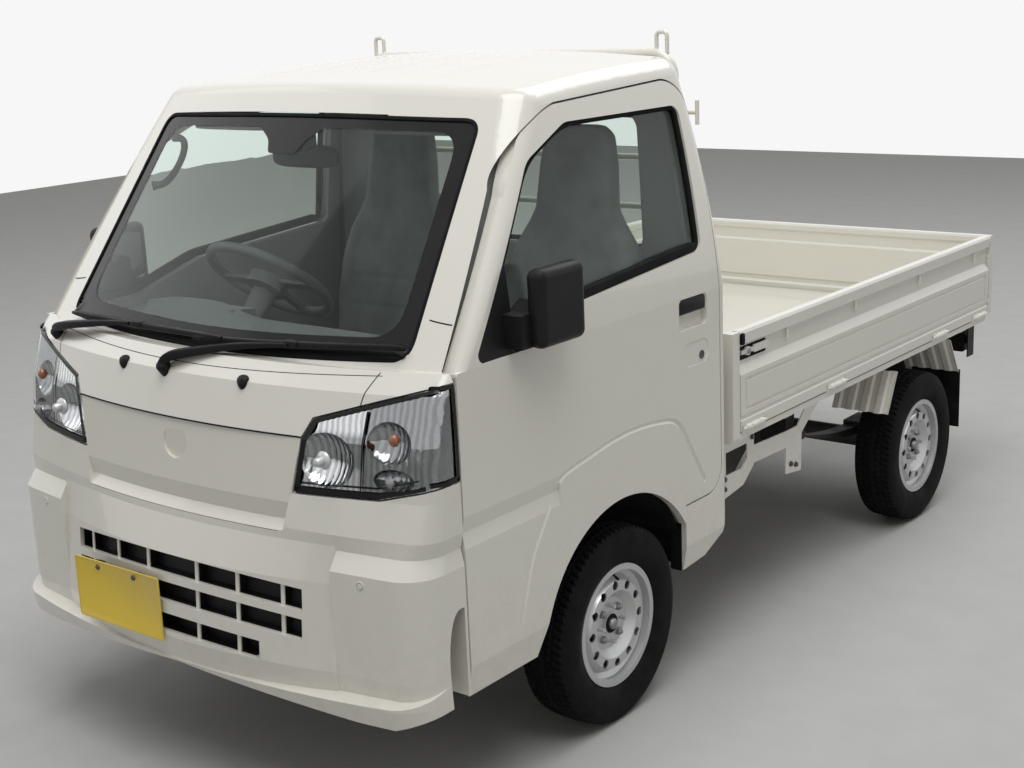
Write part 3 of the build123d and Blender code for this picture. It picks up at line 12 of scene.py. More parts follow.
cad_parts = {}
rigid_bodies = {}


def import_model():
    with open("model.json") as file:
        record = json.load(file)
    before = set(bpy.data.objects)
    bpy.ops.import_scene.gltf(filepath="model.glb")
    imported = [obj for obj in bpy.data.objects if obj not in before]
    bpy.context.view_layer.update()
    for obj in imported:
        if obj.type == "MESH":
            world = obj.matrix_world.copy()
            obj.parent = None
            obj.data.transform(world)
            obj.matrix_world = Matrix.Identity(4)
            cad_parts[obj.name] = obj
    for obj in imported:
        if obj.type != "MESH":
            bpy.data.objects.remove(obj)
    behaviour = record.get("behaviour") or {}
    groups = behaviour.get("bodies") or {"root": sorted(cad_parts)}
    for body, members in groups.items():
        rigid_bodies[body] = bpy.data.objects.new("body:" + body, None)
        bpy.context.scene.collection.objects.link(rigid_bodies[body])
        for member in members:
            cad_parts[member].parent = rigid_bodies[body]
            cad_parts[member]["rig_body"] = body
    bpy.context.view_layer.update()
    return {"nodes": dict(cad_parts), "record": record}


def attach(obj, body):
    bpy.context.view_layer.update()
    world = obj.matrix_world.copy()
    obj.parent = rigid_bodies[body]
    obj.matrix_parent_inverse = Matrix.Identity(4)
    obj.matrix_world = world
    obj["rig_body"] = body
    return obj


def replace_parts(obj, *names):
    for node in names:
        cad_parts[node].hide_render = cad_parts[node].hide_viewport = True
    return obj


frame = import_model()

MM = 0.001
TURN = 2 * math.pi
SAME_POINT = 1e-6

# Places of the wheels and seats, as the solids have them
AXLES = {"front": -800.0, "rear": 1100.0}
HALF_TRACK = 652.5
TYRE_R = 268.4
HUB_FACE = 30.0
SEAT_X = 330.0

# The sides that an outline can face: its axis, how far out it lies, and whether it's pressed backwards
SIDES = {
    "front": (1, -1800.0, False), "back": (1, -150.0, True), "left": (0, 900.0, True), "top": (2, 0.0, True),
}


# Camera and light


CAMERA_PLACE = (2.8868, -3.9245, 1.898)
CAMERA_TURN = (38.661, 14.21, -2.523)
SENSOR_WIDTH = 36.0
FOCAL_LENGTH = 54.42
AIM = (0, -0.2, 0.8)
LAMPS = [
    ("key", (2.0, -2.7, 9.0), 6.5, 500.0),
    ("fill", (-6.0, -2.5, 5.0), 5.0, 50.0),
    ("back", (0.6, 5.4, 8.0), 6.0, 235.0),
]


def make_camera():
    """The photograph's view: its place, its three axes and its focal length."""
    data = bpy.data.cameras.new("camera")
    data.sensor_width = SENSOR_WIDTH
    data.lens = FOCAL_LENGTH
    data.clip_end = 100.0
    camera = bpy.data.objects.new("camera", data)
    bpy.context.scene.collection.objects.link(camera)
    yaw, pitch, roll = (math.radians(a) for a in CAMERA_TURN)
    back = Vector((math.sin(yaw) * math.cos(pitch), -math.cos(yaw) * math.cos(pitch), math.sin(pitch)))
    right = (-back).cross(Vector((0, 0, 1))).normalized()
    up = right.cross(-back)
    turned_right = math.cos(roll) * right + math.sin(roll) * up
    turned_up = -math.sin(roll) * right + math.cos(roll) * up
    turn = Matrix((turned_right, turned_up, back)).transposed().to_4x4()
    camera.matrix_world = Matrix.Translation(CAMERA_PLACE) @ turn
    bpy.context.scene.camera = camera


def make_lamp(name, place, size, power):
    """A soft square lamp aimed at the truck's middle."""
    data = bpy.data.lights.new(name, "AREA")
    data.shape = "SQUARE"
    data.size = size
    data.energy = power
    lamp = bpy.data.objects.new(name, data)
    lamp.location = place
    aim = Vector(AIM) - Vector(place)
    lamp.rotation_euler = aim.to_track_quat("-Z", "Y").to_euler()
    bpy.context.scene.collection.objects.link(lamp)


def make_world():
    """Even grey light, with a white ground behind what the camera, mirrors and glass see."""
    world = bpy.data.worlds.new("studio")
    world.use_nodes = True
    bpy.context.scene.world = world
    tree = world.node_tree
    tree.nodes.clear()
    light = place_node(tree, "ShaderNodeBackground", Color=(1.0, 0.995, 0.965, 1.0), Strength=0.27)
    white = place_node(tree, "ShaderNodeBackground", Color=(0.93, 0.93, 0.93, 1.0), Strength=1.0)
    rays = place_node(tree, "ShaderNodeLightPath").outputs
    seen = clamped(tree, "ADD", rays["Is Camera Ray"], rays["Is Glossy Ray"])
    seen = clamped(tree, "ADD", seen, rays["Is Transmission Ray"])
    mix = place_node(tree, "ShaderNodeMixShader", Fac=seen)
    tree.links.new(light.outputs[0], mix.inputs[1])
    tree.links.new(white.outputs[0], mix.inputs[2])
    place_node(tree, "ShaderNodeOutputWorld", Surface=mix.outputs[0]).is_active_output = True


# Surfaces from arrays


def grid_faces(rows, cols, wrap_rows, wrap_cols, first):
    """The quads between neighbouring points of a grid that is numbered row by row."""
    r = np.arange(rows if wrap_rows else rows - 1)[:, None]
    c = np.arange(cols if wrap_cols else cols - 1)[None, :]
    below = ((r + 1) % rows) * cols
    here = r * cols + 0 * c
    quads = np.stack([here + c, here + (c + 1) % cols, below + (c + 1) % cols, below + c], -1)
    return quads.reshape(-1, 4) + first


class Form:
    """The points and faces of one piece, in millimetres, gathered from grids of points."""

    def __init__(self):
        self.points = []
        self.faces = []
        self.count = 0

    def grid(self, points, wrap_rows=False, wrap_cols=False, caps=False):
        """Adds one grid; caps closes its first and last rows, each a ring."""
        rows, cols = points.shape[:2]
        self.points.append(points.reshape(-1, 3))
        self.faces += grid_faces(rows, cols, wrap_rows, wrap_cols, self.count).tolist()
        if caps:
            ring = np.arange(cols) + self.count
            self.faces.append(ring[::-1].tolist())
            self.faces.append((ring + (rows - 1) * cols).tolist())
        self.count += rows * cols
        return self

    def mirrored(self):
        """The same form on the other side of the truck."""
        other = Form()
        other.points = [p * (-1, 1, 1) for p in self.points]
        other.faces = [face[::-1] for face in self.faces]
        other.count = self.count
        return other

    def add(self, other):
        """Joins another form's grids to this one."""
        self.points += other.points
        self.faces += [[i + self.count for i in face] for face in other.faces]
        self.count += other.count
        return self


def close_mesh(mesh):
    """Merges the doubles of a closed mesh and turns its faces outwards."""
    work = bmesh.new()
    work.from_mesh(mesh)
    bmesh.ops.remove_doubles(work, verts=work.verts, dist=SAME_POINT)
    bmesh.ops.recalc_face_normals(work, faces=work.faces)
    work.to_mesh(mesh)
    work.free()


def put_mesh(name, mesh, body):
    """An object of a mesh, riding on its body where it has one."""
    piece = bpy.data.objects.new(name, mesh)
    bpy.context.scene.collection.objects.link(piece)
    if body:
        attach(piece, body)
    return piece


def put_form(name, form, material, body="root", angle=38.0, solid=True):
    """A piece made of a form; edges sharper than the angle stay crisp."""
    mesh = bpy.data.meshes.new(name)
    mesh.from_pydata((np.concatenate(form.points) * MM).tolist(), [], form.faces)
    if solid:
        close_mesh(mesh)
    mesh.polygons.foreach_set("use_smooth", np.ones(len(mesh.polygons), bool))
    mesh.set_sharp_from_angle(angle=math.radians(angle))
    mesh.materials.append(material)
    mesh.update()
    return put_mesh(name, mesh, body)


def twin(piece):
    """The same piece mirrored to the right side, riding on that side's body."""
    mesh = piece.data.copy()
    mesh.transform(Matrix.Diagonal((-1, 1, 1, 1)))
    mesh.flip_normals()
    mesh.name = piece.name.replace("left", "right")
    return put_mesh(mesh.name, mesh, piece["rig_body"].replace("left", "right"))


def bake(piece):
    """Gives a piece the mesh that its modifiers make, and removes them."""
    graph = bpy.context.evaluated_depsgraph_get()
    mesh = bpy.data.meshes.new_from_object(piece.evaluated_get(graph))
    piece.modifiers.clear()
    piece.data = mesh


def mesh_points(piece):
    """A piece's points as rows of an array, in metres."""
    points = np.empty(len(piece.data.vertices) * 3)
    piece.data.vertices.foreach_get("co", points)
    return points.reshape(-1, 3)


def press_onto(piece, node, axis, backwards, gap):
    """Moves every point of a sheet along one axis on to a node's surface, less a small gap."""
    wrap = piece.modifiers.new("press", "SHRINKWRAP")
    wrap.target = frame["nodes"][node]
    wrap.wrap_method = "PROJECT"
    wrap.wrap_mode = "ABOVE_SURFACE"
    wrap.offset = gap * MM
    wrap.use_project_x, wrap.use_project_y, wrap.use_project_z = (axis == i for i in range(3))
    wrap.use_positive_direction = not backwards
    wrap.use_negative_direction = backwards
    start = mesh_points(piece)
    bake(piece)
    settle_strays(piece, start, axis)


def settle_strays(piece, start, axis):
    """Points that met nothing take the place along the axis of the nearest one that did."""
    points = mesh_points(piece)
    missed = np.abs(points[:, axis] - start[:, axis]) < SAME_POINT
    if missed.any() and not missed.all():
        flat = np.delete(start, axis, 1)
        gaps = np.linalg.norm(flat[missed][:, None] - flat[~missed][None], axis=-1)
        points[missed, axis] = points[~missed, axis][gaps.argmin(1)]
        piece.data.vertices.foreach_set("co", points.ravel())
        piece.data.update()


def face_out(piece, axis, sign):
    """Turns a sheet over where its faces look away from the side that it was pressed from."""
    normals = np.empty(len(piece.data.polygons) * 3)
    piece.data.polygons.foreach_get("normal", normals)
    if normals.reshape(-1, 3)[:, axis].mean() * sign < 0:
        piece.data.flip_normals()


def pressed(name, flat, node, side, material, body="root", gap=0.4, wall=0.0):
    """A sheet of flat points pressed on to a node from one side, with a wall outwards if one is given."""
    axis, _, backwards = SIDES[side]
    piece = put_form(name, Form().grid(facing(side, flat)), material, body, solid=False)
    press_onto(piece, node, axis, backwards, gap)
    face_out(piece, axis, 1.0 if backwards else -1.0)
    if wall:
        shell = piece.modifiers.new("wall", "SOLIDIFY")
        shell.thickness = wall * MM
        shell.offset = 1.0
        bake(piece)
        close_mesh(piece.data)
    return piece


def skin_at(node, origin, direction):
    """The place and the outward direction of a node's skin, met from a point along a direction."""
    ray = (Vector(origin) * MM, Vector(direction).normalized())
    found, place, normal, _ = frame["nodes"][node].ray_cast(*ray)
    return (np.array(place) / MM if found else np.asarray(origin, float)), np.array(normal)


# Flat outlines


def facing(side, flat, at=None):
    """Flat points set out in space on one side of the truck, at a place along its axis."""
    axis, far, _ = SIDES[side]
    return np.insert(flat, axis, far if at is None else at, axis=-1)


def rounded(corners, radii, steps=7):
    """A closed outline whose corners are quadratic curves between points a radius before and after each."""
    corners = np.asarray(corners, float)
    radii = np.broadcast_to(np.asarray(radii, float), len(corners))[:, None]
    back = np.roll(corners, 1, 0) - corners
    ahead = np.roll(corners, -1, 0) - corners
    start = corners + back / np.linalg.norm(back, axis=1, keepdims=True) * radii
    end = corners + ahead / np.linalg.norm(ahead, axis=1, keepdims=True) * radii
    s = np.linspace(0, 1, steps)[None, :, None]
    curve = (1 - s) ** 2 * start[:, None] + 2 * s * (1 - s) * corners[:, None] + s ** 2 * end[:, None]
    return curve.reshape(-1, corners.shape[1])


def oblong(low, high, radii, steps=7):
    """A rectangle between two opposite corners, with rounded corners."""
    return rounded([low, (high[0], low[1]), high, (low[0], high[1])], radii, steps)


def spread(outline, count, closed=True):
    """The outline again with evenly spaced points."""
    line = np.vstack([outline, outline[:1]]) if closed else np.asarray(outline, float)
    run = np.concatenate([[0], np.cumsum(np.linalg.norm(np.diff(line, axis=0), axis=1))])
    at = np.linspace(0, run[-1], count + 1)[:-1] if closed else np.linspace(0, run[-1], count)
    return np.stack([np.interp(at, run, line[:, i]) for i in range(line.shape[1])], 1)


def eased(route, times=3):
    """A route with its corners cut, each run replaced by its points at a quarter and three quarters."""
    route = np.asarray(route, float)
    for _ in range(times):
        cut = np.stack([0.75 * route[:-1] + 0.25 * route[1:], 0.25 * route[:-1] + 0.75 * route[1:]], 1)
        route = np.vstack([route[:1], cut.reshape(-1, route.shape[1]), route[-1:]])
    return route


def inset(outline, depth):
    """A closed flat outline moved inwards by a depth at each point, along its normals."""
    along = np.roll(outline, -1, 0) - np.roll(outline, 1, 0)
    along /= np.linalg.norm(along, axis=1, keepdims=True)
    area = np.sum(outline[:, 0] * np.roll(outline[:, 1], -1) - outline[:, 1] * np.roll(outline[:, 0], -1))
    normal = np.stack([-along[:, 1], along[:, 0]], 1) * np.sign(area)
    return outline + normal * np.broadcast_to(depth, len(outline))[:, None]


def edge_widths(outline, depth, low):
    """A width at each point of an outline that turns from depth to low where its inward normal points up."""
    up = (inset(outline, 1.0) - outline)[:, 1]
    return depth + (low - depth) * np.clip(up, 0, 1) ** 6


def between(one, two, shares):
    """A closed band of outlines between two, its first point repeated as its last."""
    share = np.asarray(shares)[:, None, None]
    sheet = one[None] * (1 - share) + two[None] * share
    return np.concatenate([sheet, sheet[:, :1]], 1)


def edging(outline, depth, low=None):
    """A closed band inside an outline; low is its depth along the lower edge."""
    widths = edge_widths(outline, depth, depth if low is None else low)
    sheet = np.stack([inset(outline, widths * s) for s in np.linspace(0, 1, 4)])
    return np.concatenate([sheet, sheet[:, :1]], 1)


def line_normals(line):
    """The flat normals of an open line, to the left of its run."""
    along = np.gradient(line, axis=0)
    along /= np.linalg.norm(along, axis=1, keepdims=True)
    return np.stack([-along[:, 1], along[:, 0]], 1)


def ribbon(route, width, rows=3):
    """A strip of a width along an open flat route."""
    line = spread(route, 60, closed=False)
    across = np.linspace(-0.5, 0.5, rows)[:, None, None] * width
    return line[None] + across * line_normals(line)[None]


# Solids from outlines


def stepped(outline, steps, side):
    """A solid of one outline: each step is how far it's drawn in and where it lies along the side's axis."""
    rows = [facing(side, inset(outline, depth), at) for depth, at in steps]
    return Form().grid(np.stack(rows), wrap_cols=True, caps=True)


def signed_power(value, power):
    """A power of the size of a value that keeps its sign."""
    return np.sign(value) * np.abs(value) ** power


def pillow(centre, half, edge=0.35, rows=14, cols=32):
    """A superellipsoid: cosines and sines of two angles raised to the edge power, times the half sizes."""
    lat = np.linspace(-math.pi / 2, math.pi / 2, rows)[:, None]
    lon = np.linspace(0, TURN, cols, endpoint=False)[None, :]
    x = signed_power(np.cos(lat), edge) * signed_power(np.cos(lon), edge)
    y = signed_power(np.cos(lat), edge) * signed_power(np.sin(lon), edge)
    z = signed_power(np.sin(lat), edge) * np.ones_like(lon)
    return Form().grid(np.stack([x, y, z], -1) * half + centre, wrap_cols=True)


def turned(profile, centre, axis, cols=32):
    """A profile of (along, radius) pairs turned about an axis; six columns give a nut's flat sides."""
    axis = np.asarray(axis, float) / np.linalg.norm(axis)
    helper = np.array([0, 0, 1.0]) if abs(axis[2]) < 0.9 else np.array([0, 1.0, 0])
    one = np.cross(helper, axis)
    one /= np.linalg.norm(one)
    along, radius = np.array(profile, float).T[:, :, None, None]
    a = np.linspace(0, TURN, cols, endpoint=False)[None, :, None]
    ring = np.cos(a) * one + np.sin(a) * np.cross(axis, one)
    points = np.asarray(centre, float) + along * axis + radius * ring
    return Form().grid(points, wrap_cols=True, caps=True)


def swept(route, section, scale=1.0):
    """A section of (side, up) points carried along a route; scale gives its size at each route point."""
    route = np.asarray(route, float)
    along = np.gradient(route, axis=0)
    along /= np.linalg.norm(along, axis=1, keepdims=True)
    side = np.cross((0, 0, 1.0), along)
    side /= np.linalg.norm(side, axis=1, keepdims=True)
    high = np.cross(along, side)
    size = np.broadcast_to(scale, len(route))
    flat = section[None, :, 0, None] * side[:, None] + section[None, :, 1, None] * high[:, None]
    points = route[:, None] + flat * size[:, None, None]
    return Form().grid(points, wrap_cols=True, caps=True)


def circle_section(r):
    """A round section."""
    a = np.linspace(0, TURN, 12, endpoint=False)
    return np.stack([np.cos(a), np.sin(a)], 1) * r


def box_section(width, height, r):
    """A rectangular section with rounded corners."""
    return oblong((-width / 2, -height / 2), (width / 2, height / 2), r, 4)


def rim_of(sheet):
    """The edge points of a grid of points, once round."""
    return np.concatenate([sheet[0, :-1], sheet[:-1, -1], sheet[-1, :0:-1], sheet[:0:-1, 0]])


# Node trees


def give(tree, node, **inputs):
    """Links or sets a node's inputs by name; __ in a name is a space."""
    for key, value in inputs.items():
        set_socket(tree, node.inputs[key.replace("__", " ")], value)


def set_socket(tree, socket, value):
    """Links a value that another node puts out, and sets any other."""
    if isinstance(value, bpy.types.NodeSocket):
        tree.links.new(value, socket)
    else:
        socket.default_value = value


def place_node(tree, kind, settings=(), **inputs):
    """Adds a node with its settings and inputs."""
    node = tree.nodes.new(kind)
    for key, value in dict(settings).items():
        setattr(node, key, value)
    give(tree, node, **inputs)
    return node


def maths(tree, operation, *values, clamp=False):
    """Values put together by one operation."""
    node = place_node(tree, "ShaderNodeMath", {"operation": operation, "use_clamp": clamp})
    for value, socket in zip(values, node.inputs):
        set_socket(tree, socket, value)
    return node.outputs[0]


def clamped(tree, operation, one, two):
    """Two values put together and kept between 0 and 1."""
    return maths(tree, operation, one, two, clamp=True)


def mix_colour(tree, share, one, two):
    """A colour between two others."""
    node = place_node(tree, "ShaderNodeMix", {"data_type": "RGBA"})
    for index, value in ((0, share), (6, one), (7, two)):
        set_socket(tree, node.inputs[index], value)
    return node.outputs[2]


def spread_value(tree, value, low, high, out_low=0.0, out_high=1.0):
    """A value rescaled smoothly from one range to another."""
    node = place_node(tree, "ShaderNodeMapRange", {"interpolation_type": "SMOOTHSTEP"}, Value=value,
                      From__Min=low, From__Max=high, To__Min=out_low, To__Max=out_high)
    return node.outputs["Result"]


def noise(tree, where, scale, detail=3.0, rough=0.55):
    """Noise of a scale at a place."""
    node = place_node(tree, "ShaderNodeTexNoise", Vector=where, Scale=scale, Detail=detail, Roughness=rough)
    return node.outputs["Fac"]


def waves(tree, where, way, **inputs):
    """Even bands across one direction."""
    node = place_node(tree, "ShaderNodeTexWave", {"bands_direction": way}, Vector=where, **inputs)
    return node.outputs["Fac"]


def raised(tree, height, strength, distance):
    """The normals of a surface raised by a height."""
    bump = place_node(tree, "ShaderNodeBump", Strength=strength, Distance=distance, Height=height)
    return bump.outputs[0]


def place_on(tree):
    """A point's place on its piece, and the same as three values."""
    where = place_node(tree, "ShaderNodeTexCoord").outputs["Object"]
    return where, place_node(tree, "ShaderNodeSeparateXYZ", Vector=where).outputs


OUTPUT_KINDS = {"Color": "NodeSocketColor", "Normal": "NodeSocketVector"}


def new_group(name, inputs, outputs):
    """An empty node group: its inputs with their defaults, a tuple being a colour, and its outputs' names."""
    group = bpy.data.node_groups.new(name, "ShaderNodeTree")
    for title, default in inputs.items():
        kind = "NodeSocketColor" if isinstance(default, tuple) else "NodeSocketFloat"
        group.interface.new_socket(title, in_out="INPUT", socket_type=kind).default_value = default
    for title in outputs:
        kind = OUTPUT_KINDS.get(title, "NodeSocketFloat")
        group.interface.new_socket(title, in_out="OUTPUT", socket_type=kind)
    start = group.nodes.new("NodeGroupInput").outputs
    end = group.nodes.new("NodeGroupOutput")
    where = group.nodes.new("ShaderNodeTexCoord").outputs["Object"]
    return group, start, end, where


# Shared effects


WHITE = (0.8, 0.8, 0.8, 1)


def orange_peel_group():
    """The faint waviness of sprayed paint: a noise of the given scale raised as a shallow bump."""
    group, start, end, where = new_group("orange_peel", {"Scale": 180.0, "Strength": 0.03}, ["Normal"])
    height = noise(group, where, start["Scale"], 2.0, 0.4)
    give(group, end, Normal=raised(group, height, start["Strength"], 0.002))
    return group


def grain_group():
    """Moulded grain: small cells with rounded edges, raised as a bump, and a slight change of gloss."""
    group, start, end, where = new_group(
        "moulded_grain", {"Scale": 900.0, "Strength": 0.25, "Roughness": 0.55}, ["Normal", "Roughness"])
    cells = place_node(group, "ShaderNodeTexVoronoi", {"feature": "SMOOTH_F1"}, Vector=where,
                       Scale=start["Scale"])
    broad = spread_value(group, noise(group, where, 9.0), 0.3, 0.7, -0.06, 0.08)
    give(group, end, Normal=raised(group, cells.outputs["Distance"], start["Strength"], 0.0006),
         Roughness=clamped(group, "ADD", start["Roughness"], broad))
    return group


def dust_group():
    """Road dust: a mask that fades upwards between two heights, broken up by noise, mixes dust in."""
    group, start, end, where = new_group(
        "road_dust", {"Color": WHITE, "Dust": (0.30, 0.27, 0.23, 1), "Low": 0.25, "High": 0.7,
                      "Amount": 0.2, "Roughness": 0.3}, ["Color", "Roughness"])
    height = place_node(group, "ShaderNodeSeparateXYZ", Vector=where).outputs["Z"]
    fade = spread_value(group, height, start["Low"], start["High"], 1.0, 0.0)
    speckle = spread_value(group, noise(group, where, 22.0, 6.0, 0.65), 0.35, 0.75)
    mask = clamped(group, "MULTIPLY", fade, speckle)
    mask = clamped(group, "MULTIPLY", mask, start["Amount"])
    give(group, end, Color=mix_colour(group, mask, start["Color"], start["Dust"]),
         Roughness=clamped(group, "ADD", start["Roughness"], mask))
    return group


def mottle_group():
    """A broad soft change between two near colours, with a finer one over it."""
    group, start, end, where = new_group(
        "soft_mottle", {"Color": WHITE, "Other": (0.7, 0.7, 0.7, 1), "Scale": 2.0}, ["Color", "Mask"])
    broad = spread_value(group, noise(group, where, start["Scale"], 4.0, 0.6), 0.3, 0.7)
    give(group, end, Color=mix_colour(group, broad, start["Color"], start["Other"]), Mask=broad)
    return group


def rust_group():
    """Patches of light rust: noise with a hard threshold mixes a rust colour in and dulls the metal."""
    group, start, end, where = new_group(
        "surface_rust", {"Color": (0.2, 0.2, 0.2, 1), "Rust": (0.16, 0.075, 0.035, 1), "Amount": 0.5},
        ["Color", "Mask"])
    patches = noise(group, where, 14.0, 8.0, 0.7)
    limit = clamped(group, "SUBTRACT", 1.0, start["Amount"])
    mask = spread_value(group, patches, limit, clamped(group, "ADD", limit, 0.12))
    give(group, end, Color=mix_colour(group, mask, start["Color"], start["Rust"]), Mask=mask)
    return group


def weave_group():
    """Plain weave: the product of two crossed waves, each a thread, lights and raises the crossings."""
    group, start, end, where = new_group(
        "plain_weave", {"Scale": 420.0, "Strength": 0.4}, ["Normal", "Mask"])
    cross = clamped(group, "MULTIPLY", *(waves(group, where, way, Scale=start["Scale"]) for way in "XZ"))
    give(group, end, Normal=raised(group, cross, start["Strength"], 0.0008), Mask=cross)
    return group


# The cab's skin in metres, as the solids have it: half width, then how each face leans or bows
HALF_CAB = 0.7375
WAIST_Z, SIDE_LEAN = 1.092, 0.118
SHOULDER_HALF, SHOULDER_Z, SHOULDER_LEAN = 0.707, 1.35, 0.215
NOSE_Y, SCREEN_LEAN, NOSE_BOW = 1.528, 0.728, 0.203
ROOF_Z, ROOF_MIDDLE_Y, ROOF_LONG, ROOF_WIDE = 1.737, 0.34, 14.4, 13.0
REAR_Y, REAR_LEAN = -0.284, 0.07
PILLAR_DEPTH, PILLAR_EXTRA = 0.17, 0.034
CAB_FLOOR_Z, DASH_Y = 0.408, 1.42


def cab_inside_group():
    """Where a surface lies inside the cab: past its side, front, roof and rear skins by a small depth. There
    the paint turns to a matt grey without its coat, partly the grey of the inner trim and partly painted
    shade of the dim cab.
    """
    group, start, end, where = new_group(
        "cab_inside", {"Color": WHITE, "Trim_and_shade": (0.29, 0.297, 0.29, 1), "Coat": 0.7, "Roughness": 0.3},
        ["Color", "Coat", "Roughness"])
    do = functools.partial(maths, group)
    x, y, z = place_node(group, "ShaderNodeSeparateXYZ", Vector=where).outputs
    square = do("MULTIPLY", x, x)
    upper = do("MULTIPLY_ADD", z, -SIDE_LEAN, HALF_CAB + SIDE_LEAN * WAIST_Z)
    top = do("MULTIPLY_ADD", z, -SHOULDER_LEAN, SHOULDER_HALF + SHOULDER_LEAN * SHOULDER_Z)
    half = do("MINIMUM", HALF_CAB, do("MINIMUM", upper, top))
    side = do("SUBTRACT", half, do("ABSOLUTE", x, 0.0))
    slope = do("MULTIPLY_ADD", z, -SCREEN_LEAN, NOSE_Y + SCREEN_LEAN * WAIST_Z)
    ahead = do("ADD", y, do("SUBTRACT", slope, do("MULTIPLY", square, NOSE_BOW)))
    crown = do("ADD", y, ROOF_MIDDLE_Y)
    crown = do("DIVIDE", do("MULTIPLY", crown, crown), ROOF_LONG)
    crown = do("ADD", crown, do("DIVIDE", square, ROOF_WIDE))
    roof = do("SUBTRACT", do("SUBTRACT", ROOF_Z, crown), z)
    above = do("MAXIMUM", do("SUBTRACT", z, SHOULDER_Z), 0.0)
    rear = do("SUBTRACT", do("SUBTRACT", REAR_Y, do("MULTIPLY", above, REAR_LEAN)), y)
    near = do("MULTIPLY", do("LESS_THAN", ahead, PILLAR_DEPTH), PILLAR_EXTRA)
    side = do("SUBTRACT", side, near)
    mask = 1.0
    for depth, low in ((side, 0.022), (ahead, 0.014), (roof, 0.014), (rear, 0.010), (z, CAB_FLOOR_Z),
                       (do("ADD", y, DASH_Y), 0.0)):
        step = place_node(group, "ShaderNodeMapRange", Value=depth, From__Min=low, From__Max=low + 0.003)
        mask = do("MULTIPLY", mask, step.outputs["Result"])
    # painted shade: inside the cab the colour is mixed to a darker grey, partly trim colour and partly
    # painted shade
    give(group, end, Color=mix_colour(group, mask, start["Color"], start["Trim_and_shade"]),
         Coat=do("MULTIPLY", do("SUBTRACT", 1.0, mask), start["Coat"]),
         Roughness=do("MAXIMUM", do("MULTIPLY", mask, 0.6), start["Roughness"]))
    return group


# The bowed front in metres: its foremost place, its bow and its rise, and the grille's opening
FRONT_Y, FRONT_BOW, FRONT_RISE, FRONT_LOW_Z = 1.6975, 0.281, 0.0687, 0.4
GRILLE_HALF, GRILLE_LOW_Z, GRILLE_HIGH_Z = 0.425, 0.402, 0.620


def grille_opening_shade(tree):
    """Whether a point lies behind the grille's bars, where the paint turns to near-black painted shade: 1
    from 14 mm behind the bowed front, 0 at the face.
    """
    do = functools.partial(maths, tree)
    x, y, z = place_on(tree)[1]
    bow = do("MULTIPLY", do("MULTIPLY", x, x), FRONT_BOW)
    rise = do("MULTIPLY", do("SUBTRACT", z, FRONT_LOW_Z), FRONT_RISE)
    depth = do("SUBTRACT", do("ADD", y, FRONT_Y), do("ADD", bow, rise))
    mask = spread_value(tree, depth, 0.0115, 0.014)
    across = do("LESS_THAN", do("ABSOLUTE", x, 0.0), GRILLE_HALF)
    above = do("GREATER_THAN", z, GRILLE_LOW_Z)
    below = do("LESS_THAN", z, GRILLE_HIGH_Z)
    return do("MULTIPLY", mask, do("MULTIPLY", across, do("MULTIPLY", above, below)))


PEEL = orange_peel_group()
CAB_INSIDE_SHADE = cab_inside_group()
GRAIN = grain_group()
DUST = dust_group()
MOTTLE = mottle_group()
RUST = rust_group()
WEAVE = weave_group()


# Finishes


PAINT_COAT = 0.7


def new_material(name, base, roughness, **values):
    """A material with one Principled shader; other sockets are set by name, with __ for a space."""
    material = bpy.data.materials.new(name)
    material.use_nodes = True
    feed(material, Base__Color=(*base, 1.0), Roughness=roughness, **values)
    return material


def use_group(material, group, **inputs):
    """Places a node group in a material."""
    return place_node(material.node_tree, "ShaderNodeGroup", {"node_tree": group}, **inputs).outputs


def feed(material, **sockets):
    """Links or sets the sockets of the material's own shader."""
    give(material.node_tree, material.node_tree.nodes["Principled BSDF"], **sockets)
    return material


def dusted(material, base, other, scale, roughness, **dust):
    """The base colour, mottled with another, under road dust, and the roughness that goes with it."""
    soft = use_group(material, MOTTLE, Color=(*base, 1), Other=(*other, 1), Scale=scale)
    return use_group(material, DUST, Color=soft["Color"], Roughness=roughness, **dust)


def paint(name, base, other, dust=0.18, peel=0.035, roughness=0.24, grille=False):
    """Gloss paint under a clear coat, with road dust towards the ground; with grille, near-black painted
    shade behind the grille's bars, otherwise a grey inside the cab that is partly trim colour and partly
    painted shade.
    """
    material = new_material(name, base, roughness, Coat__Weight=PAINT_COAT, Coat__Roughness=0.05,
                            Specular__IOR__Level=0.5)
    dusty = dusted(material, base, other, 1.7, roughness, Low=0.25, High=0.75, Amount=dust)
    feed(material, Normal=use_group(material, PEEL, Scale=160.0, Strength=peel)["Normal"])
    colour, rough = dusty["Color"], dusty["Roughness"]
    if grille:
        tree = material.node_tree
        mask = grille_opening_shade(tree)
        # painted shade: near-black colour on the surfaces behind the grille's bars
        colour = mix_colour(tree, mask, colour, (0.008, 0.008, 0.009, 1))
        coat = maths(tree, "MULTIPLY", maths(tree, "SUBTRACT", 1.0, mask), PAINT_COAT)
    else:
        # inside the cab the paint turns grey: partly the trim's colour, partly painted shade
        inside = use_group(material, CAB_INSIDE_SHADE, Color=colour, Coat=PAINT_COAT, Roughness=rough)
        colour, coat, rough = inside
    return feed(material, Base__Color=colour, Roughness=rough, Coat__Weight=coat)


def grained(material, dusty, scale, strength):
    """Gives a material a dusted colour and a moulded grain."""
    grain = use_group(material, GRAIN, Scale=scale, Strength=strength, Roughness=dusty["Roughness"])
    return feed(material, Base__Color=dusty["Color"], Roughness=grain["Roughness"], Normal=grain["Normal"])


def plastic(name, base, other, roughness, scale, strength, dust, shine):
    """Grained moulded plastic, a little chalky where it has weathered."""
    material = new_material(name, base, roughness, Specular__IOR__Level=shine)
    dusty = dusted(material, base, other, 6.0, roughness, Low=0.2, High=0.6, Amount=dust)
    return grained(material, dusty, scale, strength)


